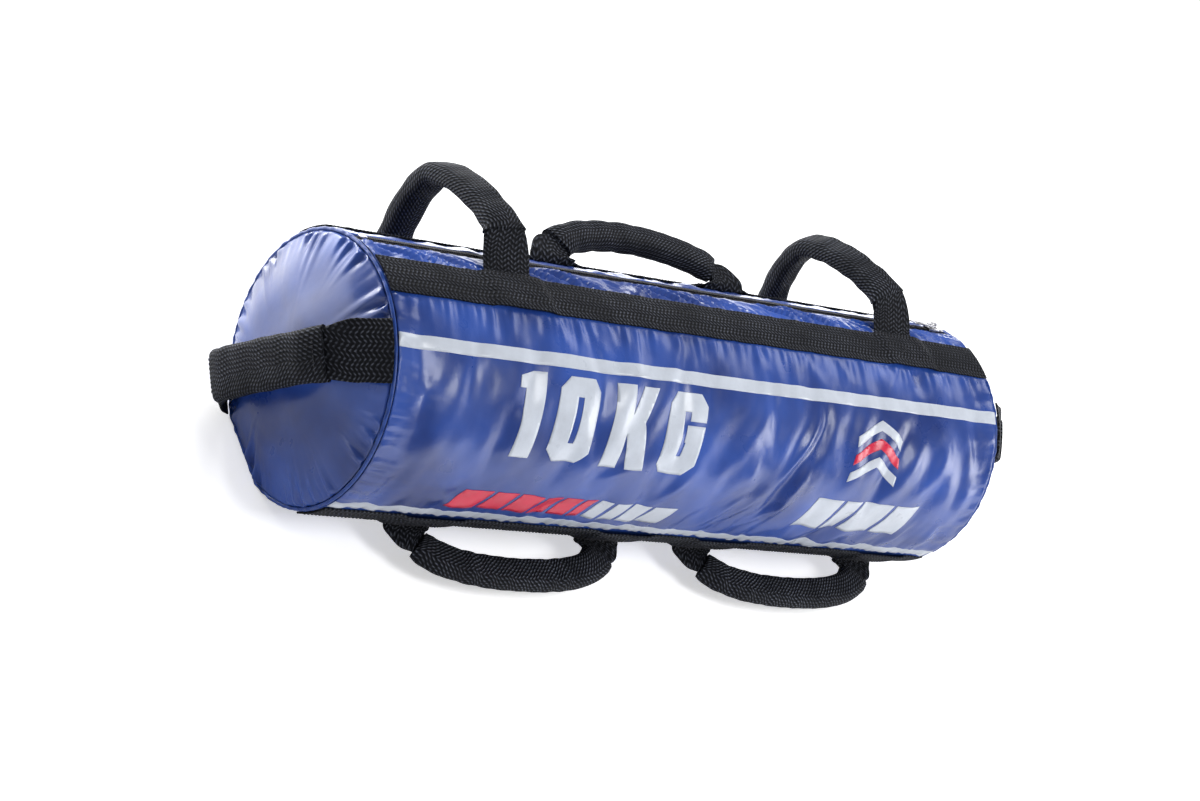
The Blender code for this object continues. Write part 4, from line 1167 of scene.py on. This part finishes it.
def leaned(row, pivot, lean):
    # A row turned about the line through the pivot that points forwards
    x, y, z, ax, ay, az, *rest = row
    c, n = math.cos(math.radians(lean)), math.sin(math.radians(lean))
    dx, dz = x - pivot[0], z - pivot[2]
    return (pivot[0] + dx * c + dz * n, y, pivot[2] + dz * c - dx * n,
            ax * c + az * n, ay, az * c - ax * n, *rest)


def smoothShare(value, low, high):
    share = min(max((value - low) / (high - low), 0), 1)
    return share * share * (3 - 2 * share)


def makeArch(word, x, lean):
    turnUp = math.degrees(math.acos(arch["halfSpan"] / footLayer))
    start = bag["strips"]["front"] + stripHalfAngle - arc(handleCloth["tuck"])
    foot = [(footLayer * math.cos(math.radians(a)), footLayer * math.sin(math.radians(a)), webWidth,
             handleCloth["footDepth"])
            for a in np.linspace(start, turnUp - 0.6, 6)]
    span, low, rise = arch["halfSpan"], arch["gripStart"], arch["rise"]
    grip = bezierRows(((span, low), (span, low + rise * arch["side"]),
                       (span * arch["crownSpan"], low + rise * arch["crownRise"]), (0, low + rise)), 7)
    core = [(f, u, handleCloth["coreWidth"] - 0.003, handleCloth["coreDepth"]) for f, u in grip[1:]]
    line = foot + list(arch["leg"]) + core
    line = line + [(-f, u, w, d) for f, u, w, d in line[-2::-1]]
    pivot = (x, 0, arch["pivot"])
    strapRows = [leaned(handleRow((x, -f, u), xAxis, w, d, min(d / 2, handleCloth["coreCorner"])), pivot,
                        lean * smoothShare(u, arch["leanFrom"], low)) for f, u, w, d in line]
    gripLine = [tuple(point) for point in grip] + [(-f, u) for f, u in grip[-2::-1]]
    gripRows = []
    for i, (f, u) in enumerate(gripLine):
        swell = max(1 - min(i, len(gripLine) - 1 - i) / 3, 0)
        row = handleRow((x, -f, u), xAxis, arch["gripWidth"] + arch["flare"] * swell ** 1.4,
                        arch["gripDepth"] - arch["thin"] * swell ** 1.5, arch["corner"])
        gripRows.append(leaned(row, pivot, lean))
    makeHandle("archHandle" + word.capitalize(), "arch_handle_" + word, "arch_" + word,
               ("front_foot", "rear_foot"), strapRows, gripRows, arch, 1,
               (300 + int(x * 100), 400 + int(x * 100)))


for word, place in arches.items():
    makeArch(word, place["x"], place["lean"])


loopCloth = {"gripWidth": 0.028, "gripDepth": 0.0165, "flare": 0.0030, "thin": 0.0055, "corner": 0.0062,
             "hingeRise": 0.007, "hingeOffset": 0.0018,
             "sideSpan": 0.81, "sideReach": 0.52, "steps": 11, "crown": 0.0010, "stations": (190, 130),
             "legDepths": (0.0026, 0.0036, 0.0050), "blendIn": 0.005, "blendOut": 0.007}


def outwardAt(angle):
    return ringPoint(0.0, angle, 1.0)


def makeLoop(name, loop):
    x, halfSpan, node = loop["x"], loop["halfSpan"], loop["node"]
    edge = bag["strips"][loop["strip"]] - stripHalfAngle
    hinge = edge - arc(loopCloth["hingeOffset"])
    pivot = ringPoint(x, hinge, bag["radius"] + loopCloth["hingeRise"])
    along = outwardAt(hinge + loop["lean"])
    middle = halfSpan * (1 + footShare) / 2
    footWidth = halfSpan * (1 - footShare)
    foot = [(a, footLayer) for a in np.linspace(edge + arc(handleCloth["tuck"]), hinge + 0.5, 6)]
    feet = [handleRow(ringPoint(x - middle, a, radius), -xAxis, footWidth, handleCloth["footDepth"],
                      handleCloth["footCorner"]) for a, radius in (*foot, (hinge, footLayer + 0.0016))]

    crownReach = loop["reach"] - loopCloth["gripWidth"] / 2
    sideways = (halfSpan * loopCloth["sideSpan"], crownReach * loopCloth["sideReach"])
    path = np.array(bezierRows(((middle, 0), sideways, (halfSpan * loop["crownSpan"], crownReach),
                                (0, crownReach)), loopCloth["steps"]))
    steps = np.gradient(path, axis=0)
    steps[-1] = (-1, 0)
    normals = unit(np.stack((steps[:, 1], -steps[:, 0]), -1))

    def rowAt(i, width, depth, corner):
        span, rise = path[i]
        across = unit(-xAxis * normals[i][0] + along * normals[i][1])
        return handleRow(pivot - xAxis * span + along * rise, across, width, depth, corner)

    def mirrored(rows):
        return rows + [(2 * x - row[0], *row[1:3], -row[3], *row[4:]) for row in rows[-2::-1]]

    legs, grip = [], []
    legSteps = len(loopCloth["legDepths"])
    for i in range(len(path)):
        width = footWidth + (loopCloth["gripWidth"] - footWidth) * min(i / legSteps, 1)
        if i < legSteps:
            legs.append(rowAt(i, width, loopCloth["legDepths"][i], 0.0016))
        else:
            legs.append(rowAt(i, handleCloth["coreWidth"] - 0.005, handleCloth["coreDepth"],
                              handleCloth["coreCorner"]))
            swell = max(1 - (i - legSteps) / 2, 0)
            grip.append(rowAt(i, width + 0.001 + loopCloth["flare"] * swell,
                              loopCloth["gripDepth"] - loopCloth["thin"] * swell ** 2, loopCloth["corner"]))
    out = outwardAt(hinge)
    makeHandle(name, node, node, ("left_foot", "right_foot"), mirrored(feet + legs), mirrored(grip),
               loopCloth, -1 if loop["strip"] == "top" else 1, (500 + int(x * 100), 600 + int(x * 100)))


for name, loop in loops.items():
    makeLoop(name, loop)


endHandle = {"halfSpan": 0.074, "rise": {"left": 0.0465, "right": 0.0555}, "crownRise": 0.010,
             "width": 0.0425, "depth": 0.0165, "flare": 0.003, "thin": 0.005, "corner": 0.0064,
             "blendLow": 0.006, "blendHigh": 0.036, "rim": 0.1152,
             "footRise": 0.0014, "pivotRise": 0.028, "droop": 7.0, "hugFrom": 0.092, "hugReach": 0.018,
             "crown": 0.0012, "stations": (140, 110)}


def hugRim(points):
    # Curves the strap's ends round the bag's rim
    share = np.clip((np.abs(points[:, 1]) - endHandle["hugFrom"]) / endHandle["hugReach"], 0, 1)
    inward = share * points[:, 2] ** 2 / (2 * endHandle["rim"])
    return points - np.stack((0 * inward, np.sign(points[:, 1]) * inward, 0 * inward), -1)


def makeEndHandle(side, word):
    e = endHandle
    up = np.array([0, 0, 1.0])

    def at(forward, rise):
        return np.array([side * (bag["halfLength"] + rise), -forward, 0])

    def mirrored(rows):
        return rows + [(row[0], -row[1], *row[2:]) for row in rows[-2::-1]]

    rise, span, rim = e["rise"][word], e["halfSpan"], e["rim"]
    start = rise - e["crownRise"]
    foot = bezierRows(((rim, e["footRise"]), (rim - 0.011, start * 0.34), (rim - 0.0245, start * 0.74),
                       (span, start)), 7)
    grip = bezierRows(((span, start), (span * 0.80, start + e["crownRise"] * 0.80), (span * 0.45, rise),
                       (0, rise)), 6)
    pivot = (side * (bag["halfLength"] + e["pivotRise"]), 0, 0)
    droop = side * e["droop"]
    half = []
    for i, (f, r) in enumerate(foot):
        last = max(i - 4, 0) / 3
        row = handleRow(at(f, r), up, webWidth + 0.002 - 0.010 * last,
                        handleCloth["footDepth"] + 0.0035 * last, handleCloth["footCorner"] + 0.0015 * last)
        half.append(leaned(row, pivot, droop * smoothShare(i, 1.5, 6)))
    half += [leaned(handleRow(at(f, r), up, handleCloth["coreWidth"] + 0.006, handleCloth["coreDepth"],
                              handleCloth["coreCorner"]), pivot, droop) for f, r in grip[1:]]
    rows = []
    for i, (f, r) in enumerate(grip):
        swell = max(1 - i / 2, 0)
        rows.append(leaned(handleRow(at(f, r), up, e["width"] + e["flare"] * swell,
                                     e["depth"] - e["thin"] * swell ** 2, e["corner"]), pivot, droop))
    node = "end_handle_" + word
    makeHandle("endHandle" + word.capitalize(), node, node, ("front_foot", "rear_foot"), mirrored(half),
               mirrored(rows), e, side, (700 + side, 710 + side), bend=hugRim)


for word, side in sides:
    makeEndHandle(side, word)
print("handles")


# Stitching on the strips: how far the seams stay from the strip's edges and ends and from the feet's
sewing = {"edge": 0.0030, "end": 0.004, "boxEnd": 0.003, "boxSide": 0.0035, "lift": 0.0001}


def onStrip(strip, xs, across):
    xs = np.asarray(xs, float)
    angles = bag["strips"][strip] + arc(1) * (np.asarray(across, float) + 0 * xs)
    lift = bag["clearance"] + bag["stripThickness"] + stripLift(strip, xs) + sewing["lift"]
    return ringPoint(xs, angles, shellRadius(angles) + lift), ringPoint(0 * xs, angles, 1.0)


def sewStrips():
    edge = bag["stripWidth"] / 2 - sewing["edge"]
    xs = np.linspace(-bag["shellHalf"] + sewing["end"], bag["shellHalf"] - sewing["end"], 500)
    for strip in bag["strips"]:
        for side in (-1, 1):
            sewLine("strips", *onStrip(strip, xs, side * edge))
        for low, high in footSpans(strip):
            low, high, reach = low + sewing["boxEnd"], high - sewing["boxEnd"], edge - sewing["boxSide"]
            corners = ((low, -reach), (high, -reach), (high, reach), (low, reach), (low, -reach))
            lines = list(zip(corners, corners[1:])) + [(corners[0], corners[2]), (corners[1], corners[3])]
            for (x0, a0), (x1, a1) in lines:
                share = np.linspace(0, 1, 12)
                sewLine("strips", *onStrip(strip, x0 + (x1 - x0) * share, a0 + (a1 - a0) * share))
    makeStitches("stripStitches", "strips", "root")


sewStrips()


# Zip: teeth, and bevelled copies of the slider, the pull and the stops
zipper = {"pitch": 0.0018, "half": 0.3415, "gap": 0.0002, "width": 0.0028, "bevel": 0.0003,
          "sink": 0.00025, "tooth": (0.00078, 0.00150, 0.0011)}


def makeTeeth():
    out, on = outwardAt(bag["zip"]), unit(outwardAt(bag["zip"] + 1) - outwardAt(bag["zip"] - 1))
    for word, side in (("front", -1), ("rear", 1)):
        bm = bmesh.new()
        count = int(2 * zipper["half"] / zipper["pitch"])
        for i in range(count):
            x = -zipper["half"] + (i + 0.5 + 0.25 * side) * zipper["pitch"]
            place = ringPoint(x, bag["zip"], bag["radius"] - zipper["sink"])
            place = place + on * side * (zipper["gap"] + zipper["width"] / 2)
            length, width, height = zipper["tooth"]
            axes = ((length, 0, 0), toWorldVector(on) * width, toWorldVector(out) * height)
            addBead(bm, toWorld(place), axes)
        obj = finishMesh(bmObject("zipTeeth" + word.capitalize(), bm))
        dress(obj, "zip_coil", replaces=("zip_coil_" + word,))


makeTeeth()


def bevelledCopy(node, name, body):
    bm = bmesh.new()
    bm.from_mesh(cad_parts[node].data)
    bmesh.ops.remove_doubles(bm, verts=bm.verts, dist=1e-6)
    bmesh.ops.dissolve_limit(bm, angle_limit=math.radians(2), verts=bm.verts, edges=bm.edges)
    sharpEdges = [e for e in bm.edges if len(e.link_faces) == 2 and e.calc_face_angle() > math.radians(30)]
    bmesh.ops.bevel(bm, geom=sharpEdges, offset=zipper["bevel"], offset_type="OFFSET", segments=2,
                    profile=0.5, affect="EDGES", clamp_overlap=True, material=-1)
    bmesh.ops.triangulate(bm, faces=[f for f in bm.faces if len(f.verts) > 4])
    obj = finishMesh(bmObject(name, bm), sharp=50)
    return dress(obj, "zip_metal", body, (node,))


bevelledCopy("zip_slider", "zipSlider", "zip_slider")
bevelledCopy("zip_pull", "zipPull", "zip_pull")
for word in ("left", "right"):
    bevelledCopy("zip_stop_" + word, "zipStop" + word.capitalize(), "root")
for node in ("zip_tape_front", "zip_tape_rear"):
    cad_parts[node].data.materials[0] = paint["zip_tape"]
print("zip")


# Filling: padding sleeve, end pads and the sand bag inside
filling = {"sleeveOut": 0.1065, "sleeveWall": 0.040, "sleeveHalf": 0.330, "padWall": 0.014, "padSink": 0.0075,
           "padShare": 0.955, "sleeveSlack": 0.004, "sleeveLump": 0.006,
           "sandRadius": 0.057, "sandFrom": -0.333, "sandTo": 0.272, "neckTo": 0.300}


def lumpyTube(name, stations, seed, lump, wall=None):
    # Stations are x, half height and half width of each ring
    stations = resample([(s[0], 0, 0, *s[1:]) for s in stations], 130)
    turns = 72
    obj, column, row = gridMesh(name, len(stations) - 1, turns)
    angles = 360 * (row % turns) / turns
    a = np.radians(angles)
    around = sum(np.sin(k * a + seed * k + 9 * stations[column, 0] * (k - 3)) / k for k in (2, 3, 5, 7))
    swell = 1 + lump * around
    points = np.stack((stations[column, 0], -stations[column, 4] * np.cos(a) * swell,
                       stations[column, 3] * np.sin(a) * swell), -1)
    setPoints(obj.data, toWorld(points))
    return finishMesh(obj, weld=True, caps=wall is None, wall=wall)


def makeFilling():
    half, out = filling["sleeveHalf"], filling["sleeveOut"]
    around = out - filling["sleeveSlack"]
    sleeve = lumpyTube("paddingSleeve", [(x, around, around) for x in np.linspace(-half, half, 9)], 1,
                       filling["sleeveLump"], filling["sleeveWall"])
    dress(sleeve, "padding", replaces=("padding_sleeve",))
    r, low, high = filling["sandRadius"], filling["sandFrom"], filling["sandTo"]
    rings = [(low, 0.006, 0.030), (low + 0.010, 0.030, 0.048), (low + 0.035, r * .9, r * .92),
             (low + 0.10, r * .95, r * .95), (0, r * .94, r * .95), (high - 0.10, r * .95, r * .95),
             (high - 0.040, r * .86, r * .9), (high - 0.012, 0.028, 0.046), (high, 0.008, 0.034)]
    sand = lumpyTube("sandBag", rings, 4, 0.022)
    dress(sand, "liner", replaces=("sand_bag",))
    neck = lumpyTube("sandBagClosure", [(high + 0.002, 0.006, 0.040), (high + 0.012, 0.0065, 0.043),
                                        (filling["neckTo"], 0.005, 0.044)], 6, 0.02)
    dress(neck, "webbing", replaces=("sand_bag_closure",))
    for word, side in sides:
        pad, _, share, angles = disc("endPad" + word.capitalize(), 14, 72)
        share = share * filling["padShare"]
        setPoints(pad.data, toWorld(endPoints(side, share, angles, -filling["padSink"])))
        thicken(pad, filling["padWall"], Vector((side, 0, 0)))
        dress(finishMesh(pad, sharp=60), "padding", replaces=("end_pad_" + word,))


makeFilling()
print("filling")


# Camera, lights, floor
camera = {"place": (-1.64609, -1.249257, 1.449209), "turn": (48.41275, -34.09925, -25.56573), "lens": 83.0793,
          "sensor": 36}


def addCamera():
    data = bpy.data.cameras.new("camera")
    data.lens = camera["lens"]
    data.sensor_width = camera["sensor"]
    obj = addObject("camera", data)
    obj.location = camera["place"]
    obj.rotation_euler = [math.radians(a) for a in camera["turn"]]
    scene.camera = obj


addCamera()

studio = {
    "lamps": (
        ("keyLamp", (0.20, -1.05, 1.70), 0.7, 19.0),
        ("rearLamp", (0.10, 1.50, 1.05), 0.7, 18.0),
        ("capLamp", (-1.0, 1.75, 0.34), 0.55, 30.0),
        ("fillLamp", (2.2, -0.9, 0.60), 0.9, 17.0),
        ("skyLamp", (1.50, 0.55, 1.25), 0.9, 6.0),
    ),
    # The shine rows say from which y to which y a gloss sees the floor grow bright, and how bright
    "world": 0.30, "floorSize": 14, "floorGlow": 0.52, "shine": ((-0.12, -0.50, 1.7), (0.05, 0.35, 3.5)),
}


def addLamps():
    for name, place, size, power in studio["lamps"]:
        data = bpy.data.lights.new(name, "AREA")
        data.shape = "SQUARE"
        data.size = size
        data.energy = power
        obj = addObject(name, data)
        obj.location = place
        aim = Vector((0, 0, 0.1)) - Vector(place)
        obj.rotation_euler = aim.to_track_quat("-Z", "Y").to_euler()


addLamps()


def onRays(nodes, links, names):
    # 1 on rays of these kinds, 0 on the others
    path = nodes.new("ShaderNodeLightPath")
    value = path.outputs[names[0]]
    for name in names[1:]:
        either = nodes.new("ShaderNodeMath")
        either.operation = "MAXIMUM"
        links.new(value, either.inputs[0])
        links.new(path.outputs[name], either.inputs[1])
        value = either.outputs[0]
    return value


def addWorld():
    world = bpy.data.worlds.new("studio")
    scene.world = world
    world.use_nodes = True
    nodes, links = world.node_tree.nodes, world.node_tree.links
    ground = nodes["Background"]
    ground.inputs["Color"].default_value = (1, 1, 1, 1)
    level = nodes.new("ShaderNodeMapRange")
    level.inputs["To Min"].default_value = studio["world"]
    level.inputs["To Max"].default_value = 1.0
    links.new(onRays(nodes, links, ("Is Camera Ray", "Is Transmission Ray")), level.inputs["Value"])
    links.new(level.outputs["Result"], ground.inputs["Strength"])


addWorld()


def addFloor():
    bm = bmesh.new()
    bmesh.ops.create_grid(bm, x_segments=1, y_segments=1, size=studio["floorSize"])
    obj = bmObject("studioFloor", bm)
    p = Paint("floorPaper", (0.92, 0.92, 0.93), 0.9, specular=0.1)
    # A gloss sees the floor dim close to the bag and bright away from it
    y = p.add("SeparateXYZ", {0: p.add("TexCoord").outputs["Object"]}).outputs[1]
    shine = [p.ramp(y, 0.0, strength, start, end) for start, end, strength in studio["shine"]]
    inGloss = p.math("MULTIPLY", onRays(p.nodes, p.links, ("Is Glossy Ray",)), p.math("ADD", *shine))
    inView = p.math("MULTIPLY", onRays(p.nodes, p.links, ("Is Camera Ray", "Is Transmission Ray")),
                    studio["floorGlow"])
    p.shader.inputs["Emission Color"].default_value = (1, 1, 1, 1)
    p.set("Emission Strength", p.math("ADD", inView, inGloss))
    obj.data.materials.append(p.material)


addFloor()
scene.view_settings.view_transform = "Standard"
